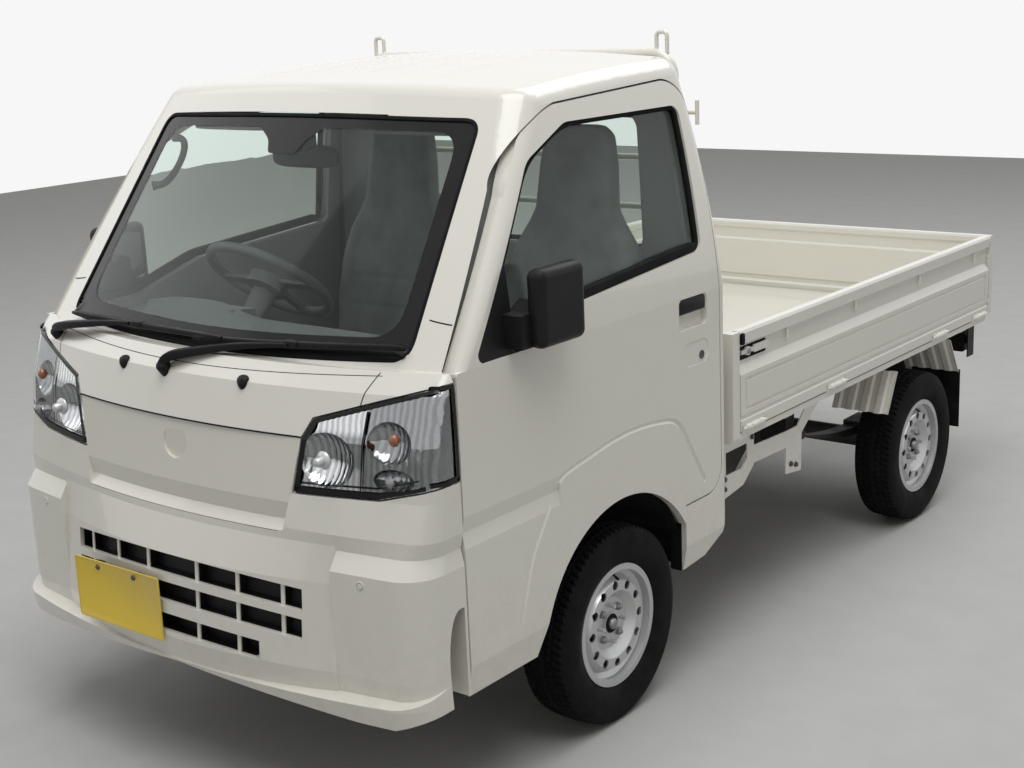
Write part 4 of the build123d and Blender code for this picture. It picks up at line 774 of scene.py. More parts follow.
def rubber(name, base, dust):
    """Matt rubber with dust in its grain."""
    material = new_material(name, base, 0.72, Specular__IOR__Level=0.10)
    dusty = dusted(material, base, [c * 1.8 for c in base], 11.0, 0.72, Low=0.0, High=0.75, Amount=dust)
    return grained(material, dusty, 500.0, 0.3)


def metal(name, base, rust, roughness, metallic, rust_amount, scale, strength):
    """Bare or silvered metal with patches of rust or dirt and a fine rolled grain."""
    material = new_material(name, base, roughness, Metallic=metallic)
    rusty = use_group(material, RUST, Color=(*base, 1), Rust=(*rust, 1), Amount=rust_amount)
    grain = use_group(material, GRAIN, Scale=scale, Strength=strength, Roughness=roughness)
    tree = material.node_tree
    rough = clamped(tree, "ADD", grain["Roughness"], clamped(tree, "MULTIPLY", rusty["Mask"], 0.35))
    return feed(material, Base__Color=rusty["Color"], Normal=grain["Normal"], Roughness=rough,
                Metallic=clamped(tree, "SUBTRACT", metallic, rusty["Mask"]))


def glass(name, tint, ior):
    """Clear glass with a little haze; its IOR and transmission are plain numbers."""
    material = new_material(name, tint, 0.0, Transmission__Weight=1.0, IOR=ior)
    tree = material.node_tree
    where = place_node(tree, "ShaderNodeTexCoord").outputs["Object"]
    haze = spread_value(tree, noise(tree, where, 5.0, 5.0, 0.6), 0.45, 0.9, 0.0, 0.012)
    return feed(material, Roughness=haze)


def fluted_chrome(name):
    """Reflector metal with upright flutes, its colour a painted reflection: painted highlights above and
    below the bowl's middle and along the flutes, painted dark grey elsewhere.
    """
    material = new_material(name, (0.72, 0.73, 0.74), 0.08, Metallic=1.0)
    tree = material.node_tree
    do = functools.partial(maths, tree)
    where, place = place_on(tree)
    flutes = waves(tree, where, "X", Scale=21.0, Distortion=2.2)
    bowl = spread_value(tree, do("ABSOLUTE", do("SUBTRACT", place["Z"], 0.918), 0.0), 0.018, 0.05)
    strake = spread_value(tree, flutes, 0.25, 0.75, 0.62, 1.0)
    inner = do("SUBTRACT", 1.0, do("GREATER_THAN", do("ABSOLUTE", place["X"], 0.0), 0.561))
    # painted reflection: the light and dark bands are set in the base colour
    painted_highlight = do("MULTIPLY", do("MAXIMUM", do("MULTIPLY", bowl, inner), 0.35), strake)
    return feed(material, Normal=raised(tree, flutes, 0.25, 0.003),
                Roughness=spread_value(tree, noise(tree, where, 30.0), 0.3, 0.8, 0.05, 0.16),
                Base__Color=mix_colour(tree, painted_highlight, (0.12, 0.125, 0.13, 1.0), (0.80, 0.81, 0.82, 1.0)))


def prism_lens(name, base):
    """A coloured lens with moulded prisms behind a glossy face."""
    material = new_material(name, base, 0.12, Coat__Weight=0.8, Coat__Roughness=0.04)
    tree = material.node_tree
    where = place_node(tree, "ShaderNodeTexCoord").outputs["Object"]
    prisms = place_node(tree, "ShaderNodeTexVoronoi", {"distance": "CHEBYCHEV"}, Vector=where, Scale=160.0,
                        Randomness=0.0).outputs["Distance"]
    dark = (*(c * 0.45 for c in base), 1.0)
    return feed(material, Normal=raised(tree, prisms, 0.35, 0.002),
                Base__Color=mix_colour(tree, spread_value(tree, prisms, 0.1, 0.6), (*base, 1.0), dark))


def cloth(name, base, other, scale):
    """Woven seat cloth with a soft sheen."""
    material = new_material(name, base, 0.9, Sheen__Weight=0.15, Sheen__Roughness=0.5)
    woven = use_group(material, WEAVE, Scale=scale, Strength=0.18)
    colour = mix_colour(material.node_tree, woven["Mask"], (*base, 1), (*other, 1))
    soft = use_group(material, MOTTLE, Color=colour, Other=(*(0.8 * c for c in base), 1), Scale=9.0)
    return feed(material, Base__Color=soft["Color"], Normal=woven["Normal"])


PAINT = paint("white_paint", (0.80, 0.785, 0.715), (0.79, 0.77, 0.70))
COVER = paint("bumper_paint", (0.79, 0.772, 0.70), (0.775, 0.757, 0.685), 0.12, 0.05, 0.28, grille=True)
PLATE = paint("plate_yellow", (0.78, 0.56, 0.03), (0.76, 0.54, 0.03), 0.05, 0.02, 0.4)
# Plastics: base colour, its mottle, roughness, the grain's scale and strength, dust and shine
BLACK, GLOSS_BLACK, TRIM, PALE_TRIM, CHASSIS_AND_SHADE, FLOOR = (plastic(*row) for row in [
    ("black_plastic", (0.009, 0.009, 0.010), (0.014, 0.014, 0.015), 0.42, 900.0, 0.10, 0.02, 0.16),
    ("gloss_black", (0.010, 0.010, 0.011), (0.014, 0.014, 0.015), 0.16, 900.0, 0.02, 0.02, 0.22),
    ("grey_trim", (0.125, 0.13, 0.13), (0.14, 0.145, 0.145), 0.62, 700.0, 0.12, 0.0, 0.3),
    ("pale_trim", (0.30, 0.30, 0.29), (0.33, 0.33, 0.32), 0.6, 700.0, 0.1, 0.0, 0.5),
    # chassis paint near black: partly the parts' own dark paint, partly painted shade under the truck
    ("chassis_paint", (0.010, 0.010, 0.010), (0.018, 0.017, 0.016), 0.5, 240.0, 0.2, 0.12, 0.5),
    ("studio_floor", (0.49, 0.488, 0.48), (0.47, 0.468, 0.46), 0.85, 60.0, 0.05, 0.0, 0.5),
])
# Metals: base colour, its rust or dirt, roughness, metallic, amount of rust, the grain's scale and strength
STEEL, ENGINE, SILVER, NUT_METAL, MIRROR_GLASS = (metal(*row) for row in [
    ("bare_steel", (0.10, 0.097, 0.095), (0.055, 0.034, 0.022), 0.55, 0.7, 0.42, 260.0, 0.12),
    ("engine_metal", (0.26, 0.26, 0.255), (0.09, 0.075, 0.06), 0.6, 0.7, 0.45, 150.0, 0.4),
    ("wheel_silver", (0.56, 0.565, 0.57), (0.22, 0.20, 0.18), 0.34, 0.55, 0.36, 420.0, 0.06),
    ("nut_metal", (0.27, 0.27, 0.275), (0.10, 0.08, 0.06), 0.38, 0.85, 0.35, 300.0, 0.1),
    ("mirror_face", (0.85, 0.86, 0.87), (0.5, 0.5, 0.5), 0.03, 1.0, 0.05, 60.0, 0.0),
])
RED, AMBER, CLEAR_LAMP, BULB_AMBER = (prism_lens(*row) for row in [
    ("tail_red", (0.42, 0.012, 0.010)), ("amber_lens", (0.75, 0.22, 0.02)),
    ("white_lens", (0.72, 0.72, 0.72)), ("amber_bulb", (0.42, 0.115, 0.02)),
])
TYRE = rubber("tyre_rubber", (0.0045, 0.0047, 0.0055), 0.02)
RUBBER = rubber("flap_rubber", (0.006, 0.006, 0.0065), 0.04)
GLASS = glass("window_glass", (0.82, 0.88, 0.85), 1.22)
LENS = glass("lens_clear", (0.985, 0.99, 0.99), 1.08)
REFLECTOR = fluted_chrome("lamp_inside")
CLOTH = cloth("seat_cloth", (0.24, 0.246, 0.246), (0.30, 0.306, 0.306), 300.0)

# The record's slots; the tail lamps' housings are black, and their lenses are pieces of their own
NODE_MATERIALS = {
    "white_paint": PAINT, "bumper_paint": COVER, "black_plastic": BLACK, "grey_trim": TRIM,
    "chassis_paint": CHASSIS_AND_SHADE, "bare_steel": STEEL, "wheel_silver": SILVER, "tyre_rubber": TYRE,
    "flap_rubber": RUBBER, "window_glass": GLASS, "lens_clear": LENS, "lamp_inside": REFLECTOR,
    "tail_red": BLACK, "seat_cloth": CLOTH, "engine_metal": ENGINE,
}


def dress_nodes():
    """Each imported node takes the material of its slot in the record."""
    for part in frame["record"]["subparts"]:
        mesh = frame["nodes"][part["node"]].data
        mesh.materials.clear()
        mesh.materials.append(NODE_MATERIALS[part["material_slot"]])


def make_floor():
    """A wide pale ground plane."""
    far = 12e3
    corners = np.array([[(-far, -far, 0), (far, -far, 0)], [(-far, far, 0), (far, far, 0)]])
    put_form("floor", Form().grid(corners), FLOOR, None, solid=False)


# Glass edges


SCREEN = [(-612, 1106), (0, 1092), (612, 1106), (560, 1612), (0, 1626), (-560, 1612)]
SCREEN = spread(rounded(SCREEN, [42, 300, 42, 42, 300, 42]), 360)
CLEAR_SCREEN = [(-556, 1152), (0, 1136), (556, 1152), (514, 1582), (0, 1594), (-514, 1582)]
CLEAR_SCREEN = spread(rounded(CLEAR_SCREEN, [70, 300, 70, 62, 300, 62]), 360)
SENSOR_PATCH = [(-118, 1612), (-118, 1590), (-66, 1560), (-48, 1528),
                (48, 1528), (66, 1560), (118, 1590), (118, 1612)]
SENSOR_PATCH = spread(rounded(SENSOR_PATCH, [3, 10, 12, 10, 10, 12, 10, 3]), 120)
DOOR_WINDOW = [(-1368, 1096), (-1155, 1096), (-935, 1166), (-385, 1205),
               (-392, 1590), (-900, 1590), (-1075, 1515)]
DOOR_WINDOW = spread(rounded(DOOR_WINDOW, [18, 30, 30, 30, 34, 60, 60]), 300)
REAR_GLASS = spread(oblong((-490, 1170), (490, 1560), 45), 240)


def glass_edges():
    """The windscreen's black border, moulding and sensor patch, and the rubber round the other windows."""
    border = between(inset(SCREEN, 2.0), CLEAR_SCREEN, np.linspace(0, 1, 5))
    pressed("screen_border", border, "windscreen", "front", GLOSS_BLACK, gap=0.3)
    moulding = edging(inset(SCREEN, edge_widths(SCREEN, 1.0, -4.0)), 8.0, low=13.0)
    pressed("screen_moulding", moulding, "windscreen", "front", RUBBER, gap=0.6, wall=3.2)
    centre = np.broadcast_to(SENSOR_PATCH.mean(0), SENSOR_PATCH.shape)
    patch = between(SENSOR_PATCH, centre, (0, 0.25, 0.5, 0.75, 0.98))
    pressed("sensor_patch", patch, "windscreen", "front", GLOSS_BLACK, gap=0.35)
    seal = edging(inset(DOOR_WINDOW, 1.5), 12.0, low=24.0)
    seal = pressed("window_seal_left", seal, "door_glass_left", "left", RUBBER, "left_door", 0.6, 13.0)
    twin(seal)
    rear = edging(inset(REAR_GLASS, 1.5), 14.0)
    pressed("rear_window_seal", rear, "rear_window", "back", RUBBER, gap=0.6, wall=9.0)


# Front of the cab


# Shut lines drawn as painted shade: name, node, width and route of each dark strip
COWL_SEAMS = [
    ("cowl_top_seam", "cowl_panel", 1.3,
     [(-574, 1082.5), (-275, 1071.5), (0, 1067.5), (275, 1071.5), (574, 1082.5)]),
    ("cowl_low_seam", "cowl_panel", 4.0,
     [(-404, 941.5), (-200, 941.5), (0, 941.5), (200, 941.5), (404, 941.5)]),
    ("pillar_seam_left", "cab_shell", 2.6, [(622, 1192), (638, 1189), (661, 1186), (680, 1184)]),
    ("cowl_corner_seam_left", "cowl_panel", 2.4, [(566, 1089), (557, 1066), (550, 1040), (546, 1021)]),
]
LAMP_EDGE = [(716, 846), (606, 818), (380, 812), (405, 938), (430, 984), (600, 1034), (716, 1066)]
LAMP_STRIPS = [
    ("lamp_divider_left", [(561, 834), (566, 1010)], 4.0, "front"),
    ("lamp_low_line_left", [(400, 836), (604, 843), (700, 868)], 2.5, "front"),
    ("lamp_rear_edge_left", [(-1442.5, 852), (-1442.5, 1071)], 9.0, "left"),
    ("lamp_side_low_left", [(-1520, 856), (-1439, 855)], 9.0, "left"),
    ("lamp_side_top_left", [(-1486, 1066.3), (-1439, 1067)], 9.0, "left"),
]
BULB_CAP = [(-4, 20), (0, 22), (4, 20), (8, 13), (20, 12), (26, 9), (29, 0.1)]
MARKER_BULB = [(0, 12), (5, 11), (8, 7), (10, 0.1)]


def front_seam_shades():
    """Thin dark strips of painted shade along the shut lines of the cowl panel and the pillars, pressed on
    the skin.
    """
    for name, node, width, route in COWL_SEAMS:
        seam = pressed(name, ribbon(eased(route), width), node, "front", RUBBER, gap=0.35)
        if name.endswith("left"):
            twin(seam)


def lamp_trim():
    """The black line round each headlamp lens, wider along its lower and inner edges."""
    line = spread(LAMP_EDGE, 260, closed=False)
    wide = np.where((line[:, 1] < 830) | (line[:, 0] < 432), 15.0, 9.0)
    wide = np.convolve(np.pad(wide, 4, mode="edge"), np.ones(9) / 9, "valid")
    share = np.linspace(0.08, 1, 5)[:, None, None]
    sheet = line[None] - share * wide[None, :, None] * line_normals(line)[None]
    twin(pressed("lamp_edge_left", sheet, "lamp_lenses", "front", GLOSS_BLACK, gap=0.5))
    for name, route, width, side in LAMP_STRIPS:
        twin(pressed(name, ribbon(route, width), "lamp_lenses", side, GLOSS_BLACK, gap=0.5))
    lining = ribbon([(-1465, 862), (-1465, 1062)], 42.0, rows=8)
    twin(pressed("lamp_side_lining_left", lining, "lamp_lenses", "left", REFLECTOR, gap=-5.0))


def lamp_insides():
    """Inside each headlamp: a bulb cap with its ring, an amber bulb and a small marker lamp."""
    cap = turned(BULB_CAP, (478, -1600, 900), (0, -1, 0))
    bulb = pillow((640, -1538, 954), (13, 13, 15), edge=1.0, rows=18, cols=28)
    marker = turned(MARKER_BULB, (640, -1560, 862), (0, -1, 0), 28)
    twin(put_form("bulb_cap_left", cap, SILVER))
    twin(put_form("turn_bulb_left", bulb, BULB_AMBER))
    twin(put_form("marker_bulb_left", marker, NUT_METAL))


SENSOR = [(-4, 11.5), (0.5, 11.5), (1.3, 10.6), (1.5, 8.6), (0.4, 8.2), (0.4, 7.4), (1.6, 7), (1.8, 0.1)]
SENSOR_GAP = [(-3, 8.4), (0.7, 8.4), (0.7, 7.3), (-3, 7.3)]
PLATE_STEPS = [(0, -1701), (0, -1703.2), (1.0, -1704), (4.5, -1704), (5.5, -1703.4)]


def front_fittings():
    """The washer nozzles, the bumper's sensors and the blank plate with its holder and bolts."""
    for side, x in (("right", -216), ("left", 216)):
        place, normal = skin_at("cowl_panel", (x, -1900, 1050), (0, 1, 0))
        jet = turned([(-3, 15), (1, 15), (5, 13.5), (9, 9), (10.5, 4), (11, 0.1)], (0, 0, 0), normal, 28)
        points = jet.points[0]
        points[:, 0] *= 1.1 + 0.012 * np.clip(points[:, 2], -15, 12)
        points[:, 2] *= np.where(points[:, 2] < 0, 1.55, 0.95)
        jet.points = [points + place]
        put_form(f"washer_jet_{side}", jet, BLACK)
    place, normal = skin_at("front_bumper", (579, -1900, 626), (0, 1, 0))
    twin(put_form("bumper_sensor_left", turned(SENSOR, place, normal), COVER))
    twin(put_form("sensor_gap_left", turned(SENSOR_GAP, place, normal), RUBBER))
    put_form("number_plate", stepped(oblong((-353, 383), (-23, 548), 8, 6), PLATE_STEPS, "front"), PLATE)
    holder = Form()
    for x in (-270, -106):
        holder.add(stepped(oblong((x - 14, 400), (x + 14, 540), 4, 4), [(0, -1701), (0, -1680)], "front"))
    put_form("plate_holder", holder, BLACK)
    bolts = Form()
    for x in (-258, -118):
        bolts.add(turned([(-1, 7), (1.5, 7), (3, 6), (3.4, 0.1)], (x, -1704, 531), (0, -1, 0), 20))
    put_form("plate_bolts", bolts, STEEL)


WIPERS = [
    ([(-50, -1599, 1056), (-45, -1598, 1077), (-20, -1584, 1087),
      (105, -1546, 1109), (185, -1530, 1120), (300, -1512, 1128)],
     [(-8, -1530, 1117), (270, -1505, 1122), (604, -1450, 1139)]),
    ([(-588, -1512, 1070), (-584, -1514, 1084), (-520, -1528, 1100),
      (-430, -1532, 1112), (-332, -1520, 1122), (-270, -1518, 1126)],
     [(-566, -1468, 1115), (-300, -1510, 1121), (92, -1528, 1124)]),
]
WIPER_CAP = [(-22, 15), (-4, 17), (7, 17), (12, 14), (16, 7), (17, 0.1)]


def sized(count, places, sizes):
    """A size at each of a number of even steps, read between a few given ones."""
    return np.interp(np.linspace(0, 1, count), places, sizes)


def wipers():
    """Each wiper: a pivot cap, an arm that thins towards its blade, and a blade with its rubber lip."""
    arms = Form()
    lips = Form()
    for arm, blade in WIPERS:
        route = spread(eased(arm), 60, closed=False)
        arms.add(swept(route, box_section(22, 17, 4), sized(60, [0, 0.12, 0.6, 1], [1.2, 1.4, 0.95, 0.55])))
        arms.add(turned(WIPER_CAP, arm[0], (0, -0.55, 0.84), 28))
        line = spread(eased(blade, 4), 80, closed=False)
        size = sized(80, [0, 0.05, 0.5, 0.95, 1], [0.5, 0.85, 1.15, 0.85, 0.5])
        arms.add(swept(line + (0, -4, 3), box_section(15, 15, 4), size))
        lips.add(swept(line + (0, 3.5, -1.5), box_section(3.2, 9, 0.8)))
        arms.add(pillow(line[len(line) // 2] + (0, -8, 6), (22, 9, 8), 0.4))
    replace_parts(put_form("wiper_arms", arms, BLACK), "wipers")
    put_form("wiper_lips", lips, RUBBER)


# Wheels


TYRE_WALL = [(51.0, 157.0), (54.2, 166.5), (61, 173), (69, 190), (72.3, 206),
             (72.0, 228), (69.5, 246), (65.0, 256.5), (61.5, 261.3)]
TYRE_INSIDE = [(-48, 157.5), (-58, 190), (-60, 225), (-50, 250), (0, 255),
               (50, 250), (60, 225), (58, 190), (48, 157.5)]
WALL_RINGS = [(186, 1.5), (221, 1.2), (236, 2.5)]
TREAD_X = [60, 58, 55, 52, 48, 44, 40, 38, 36.5, 35, 33, 31.5, 30,
           28, 25, 22, 19, 16, 14.5, 13, 11, 9.5, 8, 6, 3, 0.0]
TREAD_GROOVES = [(33.5, 4.2), (11.3, 3.6)]
TREAD_PITCHES = 80
COLUMNS_A_PITCH = 6
HUB_DISH = [(0, 26.5), (6.4, 26.3), (8.4, 25), (8.6, 22), (7.0, 20), (6.8, 8),
            (6.8, 0), (5.2, 0), (5.2, 8), (5.2, 21), (4.6, 23.6), (0, 23.8)]
HUB_CAP = [(5, 15.5), (13, 15), (17, 12.5), (19, 8), (19.6, 0.1)]
VALVE = [(0, 5.5), (6, 5.2), (8, 4.2), (22, 4.0), (24, 3), (24.5, 0.1)]
# A nut's washer, its six flats and its domed end, each with its number of columns
WHEEL_NUT = [([(0, 10.5), (2, 10.5), (3.5, 9.8)], 24), ([(3, 10.2), (10, 10.2), (11.5, 8.8)], 6),
             ([(11.4, 7.0), (14, 6.6), (15.6, 4.5), (16, 0.1)], 16)]


def tyre_section():
    """The tyre's closed section of (x, radius): rounded walls with fine rings, a crowned tread, an inside."""
    wall = spread(eased(TYRE_WALL, 2), 40, closed=False)
    rings = sum(np.exp(-((wall[:, 1] - at) / width) ** 2) for at, width in WALL_RINGS)
    wall[:, 0] = np.minimum(wall[:, 0] + 0.9 * rings, 72.4)
    tread_x = np.array(TREAD_X)
    half = np.vstack([wall, np.column_stack([tread_x, 268.2 - 3.0 * (tread_x / 50.5) ** 2])])
    return np.vstack([half, half[-2::-1] * (-1, 1), TYRE_INSIDE])


def tyre_form(axle_y):
    """A tyre: its section turned about the axle, with wavy grooves round it and cuts across its shoulders."""
    section = tyre_section()
    x = section[:, 0][:, None]
    radius = section[:, 1][:, None]
    a = np.linspace(0, TURN, TREAD_PITCHES * COLUMNS_A_PITCH, endpoint=False)[None, :]
    tread = np.clip((radius - 259.5) / 3.0, 0, 1)
    cut = np.zeros_like(x * a)
    for middle, half_width in TREAD_GROOVES:
        wave = middle + 1.2 * np.sin(40 * a)
        cut = np.maximum(cut, np.clip(1.6 - np.abs(np.abs(x) - wave) / half_width * 1.6, 0, 1) * 6.0)
    pitch = (a * TREAD_PITCHES / TURN + np.abs(x) / 90 + np.where(x > 0, 0.0, 0.5)) % 1.0
    lug = np.clip((np.abs(x) - 37.0) / 2.0, 0, 1) * (pitch < 0.30) * 5.5
    sipe = np.clip(2.2 - np.abs(np.abs(x) - 22) / 5.0, 0, 1) * (np.abs(pitch - 0.62) < 0.14) * 4.0
    radius = radius - tread * np.maximum(np.maximum(cut, lug), sipe)
    points = np.stack([x + 0 * a, radius * np.sin(a), radius * np.cos(a)], -1)
    return Form().grid(points + (HALF_TRACK, axle_y, TYRE_R), wrap_rows=True, wrap_cols=True)


def hub_dish(centre):
    """A thin low dish over the bore, in dark rubber as painted shade of the gap round the cap: its profile
    turned about the axle, closed on itself.
    """
    along, radius = np.array(HUB_DISH).T[:, :, None]
    a = np.linspace(0, TURN, 40, endpoint=False)[None, :]
    points = np.stack([along + 0 * a, radius * np.cos(a), radius * np.sin(a)], -1)
    return Form().grid(points + centre, wrap_rows=True, wrap_cols=True)


def wheels():
    """On each wheel the detailed tyre, four nuts, a dark dish of painted shade with its cap over the bore,
    and a valve.
    """
    for end, axle_y in AXLES.items():
        hub = (HALF_TRACK + HUB_FACE, axle_y, TYRE_R)
        nuts = Form()
        for quarter in range(4):
            a = math.radians(45 + 90 * quarter)
            at = (hub[0], axle_y + 50 * math.cos(a), TYRE_R + 50 * math.sin(a))
            for profile, cols in WHEEL_NUT:
                nuts.add(turned(profile, at, (1, 0, 0), cols))
        valve_place = (HALF_TRACK + 28, axle_y + 20, TYRE_R + 128)
        fittings = [
            ("tyre_detail", tyre_form(axle_y), TYRE),
            ("wheel_nuts", nuts, NUT_METAL),
            # painted shade: the black dish stands for the dark gap round the cap
            ("hub_gap_shade", hub_dish(hub), RUBBER),
            ("dust_cap", turned(HUB_CAP, hub, (1, 0, 0)), NUT_METAL),
            ("valve", turned(VALVE, valve_place, (0.92, -0.1, -0.35), 16), RUBBER),
        ]
        for side in ("left", "right"):
            for name, form, material in fittings:
                form = form if side == "left" else form.mirrored()
                angle = 28.0 if material is TYRE else 38.0
                piece = put_form(f"{name}_{end}_{side}", form, material, f"wheel_{end}_{side}", angle)
                if material is TYRE:
                    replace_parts(piece, f"tyre_{end}_{side}")


def arch_liners():
    """Black ribbed liners in the front arches: an arc about the axle with a wave along it, and a foot."""
    axle = (AXLES["front"], TYRE_R)
    a = np.radians(np.linspace(9, 173, 100))[:, None]
    x = np.linspace(432, 718, 48)[None, :]
    tuck = np.clip((math.radians(48) - a) / 0.16, 0, 1) * np.clip((x - 660) / 25, 0, 1)
    ribs = 2.2 * np.sin(a * 30) * np.clip((x - 440) / 30, 0, 1) * np.clip((690 - x) / 20, 0, 1)
    radius = 351 - 9 * tuck + ribs
    points = np.stack([x + 0 * a, axle[0] + radius * np.cos(a), axle[1] + radius * np.sin(a)], -1)
    inner = points.copy()
    inner[..., 1:] = (points[..., 1:] - axle) * 1.008 + axle
    form = Form().grid(np.concatenate([points, inner[::-1]]), wrap_rows=True)
    form.add(stepped(oblong((686.5, 324), (722, 462), 4, 4), [(0, -503.0), (0, -500.4)], "front"))
    twin(put_form("arch_liner_left", form, BLACK))


# Doors and mirrors


def door_fittings():
    """On each door: the black paddle in its pan, the key cylinder and the mirror's glass."""
    paddle = oblong((-517, 1047), (-383, 1089), [8, 8, 17, 17])
    paddle = stepped(paddle, [(0, 722), (0, 733), (1.5, 735), (4.5, 736)], "left")
    twin(put_form("handle_paddle_left", paddle, BLACK, "left_door"))
    key = [(-3, 12), (1.0, 12), (1.8, 11), (1.2, 10), (1.2, 4), (0.6, 3.4), (0.6, 0.1)]
    twin(put_form("key_cylinder_left", turned(key, (736.8, -407, 922), (1, 0, 0)), STEEL, "left_door"))
    face = stepped(oblong((-1192, 1133), (-1068, 1267), 14), [(0, 766.6), (0, 764.8)], "left")
    twin(put_form("mirror_face_left", face, MIRROR_GLASS, "left_door"))


# Seats


CUSHION_HALF_X, CUSHION_HALF_Y, CUSHION_THICK = 228.0, 238.0, 122.0
CUSHION_Y, CUSHION_Z = -685.0, 643.0
CUSHION_CHANNELS = (-0.45, -0.1, 0.25, 0.58)
BACK_CHANNELS = (790, 880, 970, 1060)
# The seat back at heights up it: its front face, its depth and its half width
BACK_ROWS = [(660, -540, 112, 206), (705, -543, 124, 219), (850, -520, 126, 230), (1000, -498, 122, 234),
             (1120, -476, 112, 220), (1200, -460, 104, 196), (1262, -451, 96, 152), (1300, -446, 90, 131),
             (1420, -428, 84, 122), (1500, -414, 70, 110), (1532, -408, 52, 92)]


def cushion_form(x_centre):
    """A seat cushion: a rounded block crowned upwards, its sides drawn in, its sewn channels narrow dips."""
    u = np.linspace(-1, 1, 61)[:, None]
    v = np.linspace(-1, 1, 73)[None, :]
    reach = 1.0 - 0.03 * (u ** 2 * v ** 2)
    x = CUSHION_HALF_X * u * reach * (1 - np.abs(v) ** 7.0 * 0.06)
    y = CUSHION_HALF_Y * v * reach * (1 - np.abs(u) ** 7.0 * 0.06)
    edge = np.maximum(np.abs(u), np.abs(v) + 0 * u)
    fall = np.clip(1 - np.clip((edge - 0.78) / 0.22, 0, 1) ** 2, 0, 1) ** 0.5
    crown = 18 * (1 - (u ** 2)) * (1 - 0.5 * v ** 2)
    bolster = 14 * np.exp(-((np.abs(u) - 0.78) / 0.12) ** 2)
    channels = sum(np.exp(-((v - at) / 0.016) ** 2) for at in CUSHION_CHANNELS) * (np.abs(u) < 0.64)
    seams = np.exp(-((np.abs(u) - 0.66) / 0.014) ** 2)
    top = CUSHION_THICK * (0.30 + 0.62 * fall) + (crown + bolster - 4.5 * channels - 4.0 * seams) * fall
    upper = np.stack([x + x_centre, y + CUSHION_Y, CUSHION_Z + top], -1)
    under = np.stack([x * 0.98 + x_centre, y * 0.98 + CUSHION_Y, np.full_like(top, CUSHION_Z + 4.0)], -1)
    form = Form().grid(upper).grid(under[:, ::-1])
    ring_up = rim_of(upper)
    ring_low = rim_of(under)
    middle = (ring_up + ring_low) / 2 + 0.02 * (ring_up - upper.mean((0, 1)))
    return form.grid(np.stack([ring_up, middle, ring_low]), wrap_cols=True)


def seat_back_form(x_centre):
    """A high seat back: superellipse rings that lean and narrow upwards, with bolsters and sewn channels."""
    table = np.array(BACK_ROWS, float)
    z = np.linspace(table[0, 0], table[-1, 0], 90)
    front, depth, half = (np.interp(z, table[:, 0], table[:, i])[:, None] for i in (1, 2, 3))
    z = z[:, None]
    a = np.linspace(0, TURN, 96, endpoint=False)[None, :]
    cos, sin = signed_power(np.cos(a), 0.42), signed_power(np.sin(a), 0.55)
    share = np.abs(cos)
    below_head = np.clip((1190 - z) / 40, 0, 1)
    bolster = -12 * np.exp(-((share - 0.82) / 0.12) ** 2) * below_head
    channels = sum(np.exp(-((z - at) / 5.0) ** 2) for at in BACK_CHANNELS) * (share < 0.66)
    seams = np.exp(-((share - 0.68) / 0.02) ** 2) * below_head + np.exp(-((z - 1206) / 4.0) ** 2)
    y = front + depth / 2 + depth / 2 * sin
    y = y + np.clip(-sin, 0, 1) * (bolster + 5 * channels + 4 * np.clip(seams, 0, 1))
    x = half * cos * (1 - 0.16 * np.clip((z - 1500) / 32, 0, 1) ** 2)
    return Form().grid(np.stack([x + x_centre, y, z + 0 * a], -1), wrap_cols=True, caps=True)


def seats():
    """Two padded seats: cushions and backs of woven cloth, in the space that their solids hold."""
    for x, title in ((-SEAT_X, "driver"), (SEAT_X, "passenger")):
        pieces = [put_form(f"cushion_{title}", cushion_form(x), CLOTH, angle=60.0),
                  put_form(f"seat_back_{title}", seat_back_form(x), CLOTH, angle=60.0)]
        for piece in pieces:
            round_off = piece.modifiers.new("soften", "SUBSURF")
            round_off.levels = 1
            round_off.render_levels = 1
            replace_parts(piece, f"seat_{title}")


# Cab interior


MIRROR_STEM = [(0, 52, -6), (-10, 78, -28), (-26, 90, -48)]
GRAB_HANDLE = [(-520, -1112, 1548), (-494, -1092, 1540), (-490, -1110, 1490),
               (-518, -1150, 1424), (-544, -1182, 1420)]
PAD_BACK_Y, PAD_UNDER_Z = -1228, 1046


def pad_height(x, y):
    """The height of the dashboard's pad: highest at the back, falling towards the glass and the doors."""
    back = np.clip((y + 1440) / 200, 0, 1)
    hood = 34 * np.exp(-(((x + 340) / 190) ** 4)) * np.clip((y + 1330) / 90, 0, 1)
    return 1078 + 26 * back ** 1.5 - 22 * (x / 650) ** 4 + hood


def dash_pad():
    """The dashboard's soft top as a sheet that follows the glass, its rear edge rolled down."""
    u = np.linspace(-1, 1, 90)[None, :]
    v = np.linspace(0, 1, 40)[:, None]
    x = 636 * u + 0 * v
    front = -1462 + 0.24e-3 * x ** 2 * 0.86
    y = front + (PAD_BACK_Y - front) * v
    z = pad_height(x, y) - 40 * np.clip((v - 0.93) / 0.07, 0, 1) ** 2
    top = np.stack([x, y, z], -1)
    under = np.stack([x, y, np.full_like(x, PAD_UNDER_Z)], -1)
    form = Form().grid(top).grid(under[:, ::-1])
    return form.grid(np.stack([rim_of(top), rim_of(under)]), wrap_cols=True)


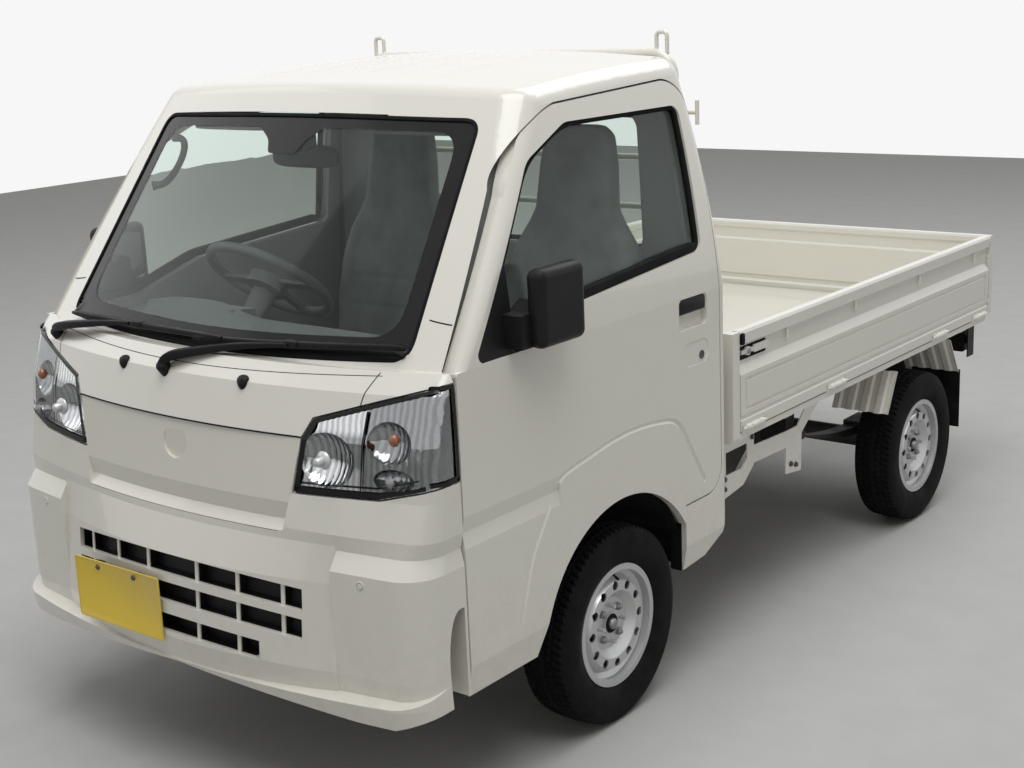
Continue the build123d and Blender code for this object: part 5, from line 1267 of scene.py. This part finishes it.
def cab_fittings():
    """Rear-view mirror, sensor housing, sun visors, dashboard pad with its slots, and the pillar's handle."""
    place, _ = skin_at("windscreen", (0, -2000, 1560), (0, 1, 0))
    put_form("sensor_housing", pillow(place + (0, 42, -6), (46, 30, 32), 0.45), BLACK)
    mirror = pillow(place + (-30, 92, -52), (118, 11, 30), 0.5, 18, 40)
    mirror.add(swept(spread(place + np.array(MIRROR_STEM), 10, closed=False), circle_section(6)))
    put_form("inside_mirror", mirror, BLACK)
    visors = Form()
    for x in (-330, 330):
        low, _ = skin_at("windscreen", (x, -2000, 1600), (0, 1, 0))
        visors.add(pillow(low + (0, 112, -26), (160, 58, 8), 0.4, 14, 40))
    put_form("sun_visors", visors, PALE_TRIM)
    put_form("dash_pad", dash_pad(), TRIM, angle=60)
    slots = Form()
    for x in np.arange(-430, 331, 15.0):
        if abs(x + 50) > 22:
            y = -1342 + 0.16e-3 * x * x
            height = pad_height(x, y)
            bar = oblong((x - 4.5, y - 15), (x + 4.5, y + 15), 3, 4)
            slots.add(stepped(bar, [(0, height - 3), (0, height + 0.8)], "top"))
    put_form("defroster_slots", slots, RUBBER)
    route = spread(eased(GRAB_HANDLE, 2), 40, closed=False)
    size = sized(40, [0, 0.1, 0.5, 0.9, 1], [1.5, 1.1, 1.0, 1.1, 1.5])
    put_form("pillar_handle", swept(route, circle_section(9), size), BLACK)


# Bed


GATE_HINGE_X, GATE_HINGE_Z = 731.0, 652.0
GATE_HINGES = (-112.0, 412.0, 1216.0, 1575.0)
BRACKET_BOLTS = [(-206, 470), (-206, 500), (196, 440), (228, 430), (-45, 590)]


def bed_fittings():
    """Barrel knuckles on the side gates' hinges, rubber stops, a dark block of painted shade in each latch
    recess, pins and bracket bolts.
    """
    turning = Form()
    fixed = Form()
    for y in GATE_HINGES:
        at = (GATE_HINGE_X, y, GATE_HINGE_Z)
        for low, high, form in ((-22.5, 22.5, turning), (-46, -25.5, fixed), (25.5, 46, fixed)):
            barrel = [(low, 6.2), (low, 9.2), (low + 1, 10.2), (high - 1, 10.2), (high, 9.2), (high, 6.2)]
            form.add(turned(barrel, at, (0, 1, 0), 24))
        for end in (-50.0, 50.0):
            washer = [(-2, 8.2), (-1, 8.8), (1, 8.8), (2, 7.6)]
            fixed.add(turned(washer, (GATE_HINGE_X, y + end, GATE_HINGE_Z), (0, 1, 0), 24))
    twin(put_form("gate_knuckles_left", turning, PAINT, "left_gate"))
    twin(put_form("sill_knuckles_left", fixed, PAINT))
    twin(put_form("gate_stop_left", pillow((733, -181, 918), (5, 9, 17), 0.4), RUBBER, "left_gate"))
    # painted shade: a dark block set in the latch's recess
    recess = stepped(oblong((-182, 852), (-24, 891), 6, 5), [(0, 715.0), (0, 719.2)], "left")
    twin(put_form("latch_recess_left", recess, RUBBER, "left_gate"))
    pin = turned([(0, 9), (2, 9), (3.5, 7.5), (4, 0.1)], (728.5, -138, 875), (1, 0, 0), 28)
    twin(put_form("latch_pin_left", pin, NUT_METAL, "left_gate"))
    bolts = Form()
    for y, z in BRACKET_BOLTS:
        bolts.add(turned([(-2, 9), (1, 9), (1.2, 7.4)], (684.6, y, z), (1, 0, 0), 24))
        bolts.add(turned([(0, 7.2), (6, 7.2), (7, 6.2)], (684.6, y, z), (1, 0, 0), 6))
    twin(put_form("bracket_bolts_left", bolts, STEEL))


# Tail


TAIL_LENSES = [("red", 468, 530, RED), ("amber", 533, 592, AMBER), ("clear", 595, 656, CLEAR_LAMP)]


def tail_lenses():
    """Red, amber and clear lenses side by side on the back of each tail lamp."""
    steps = [(0, 1666), (0, 1671), (2.5, 1674), (5.5, 1675)]
    for name, x0, x1, material in TAIL_LENSES:
        lens = stepped(oblong((x0, 508), (x1, 584), 14, 6), steps, "front")
        twin(put_form(f"tail_lens_{name}_left", lens, material))


make_camera()
for lamp in LAMPS:
    make_lamp(*lamp)
make_world()
bpy.context.scene.view_settings.view_transform = "Standard"
dress_nodes()
make_floor()
glass_edges()
front_seam_shades()
lamp_trim()
lamp_insides()
front_fittings()
wipers()
wheels()
arch_liners()
door_fittings()
seats()
cab_fittings()
bed_fittings()
tail_lenses()
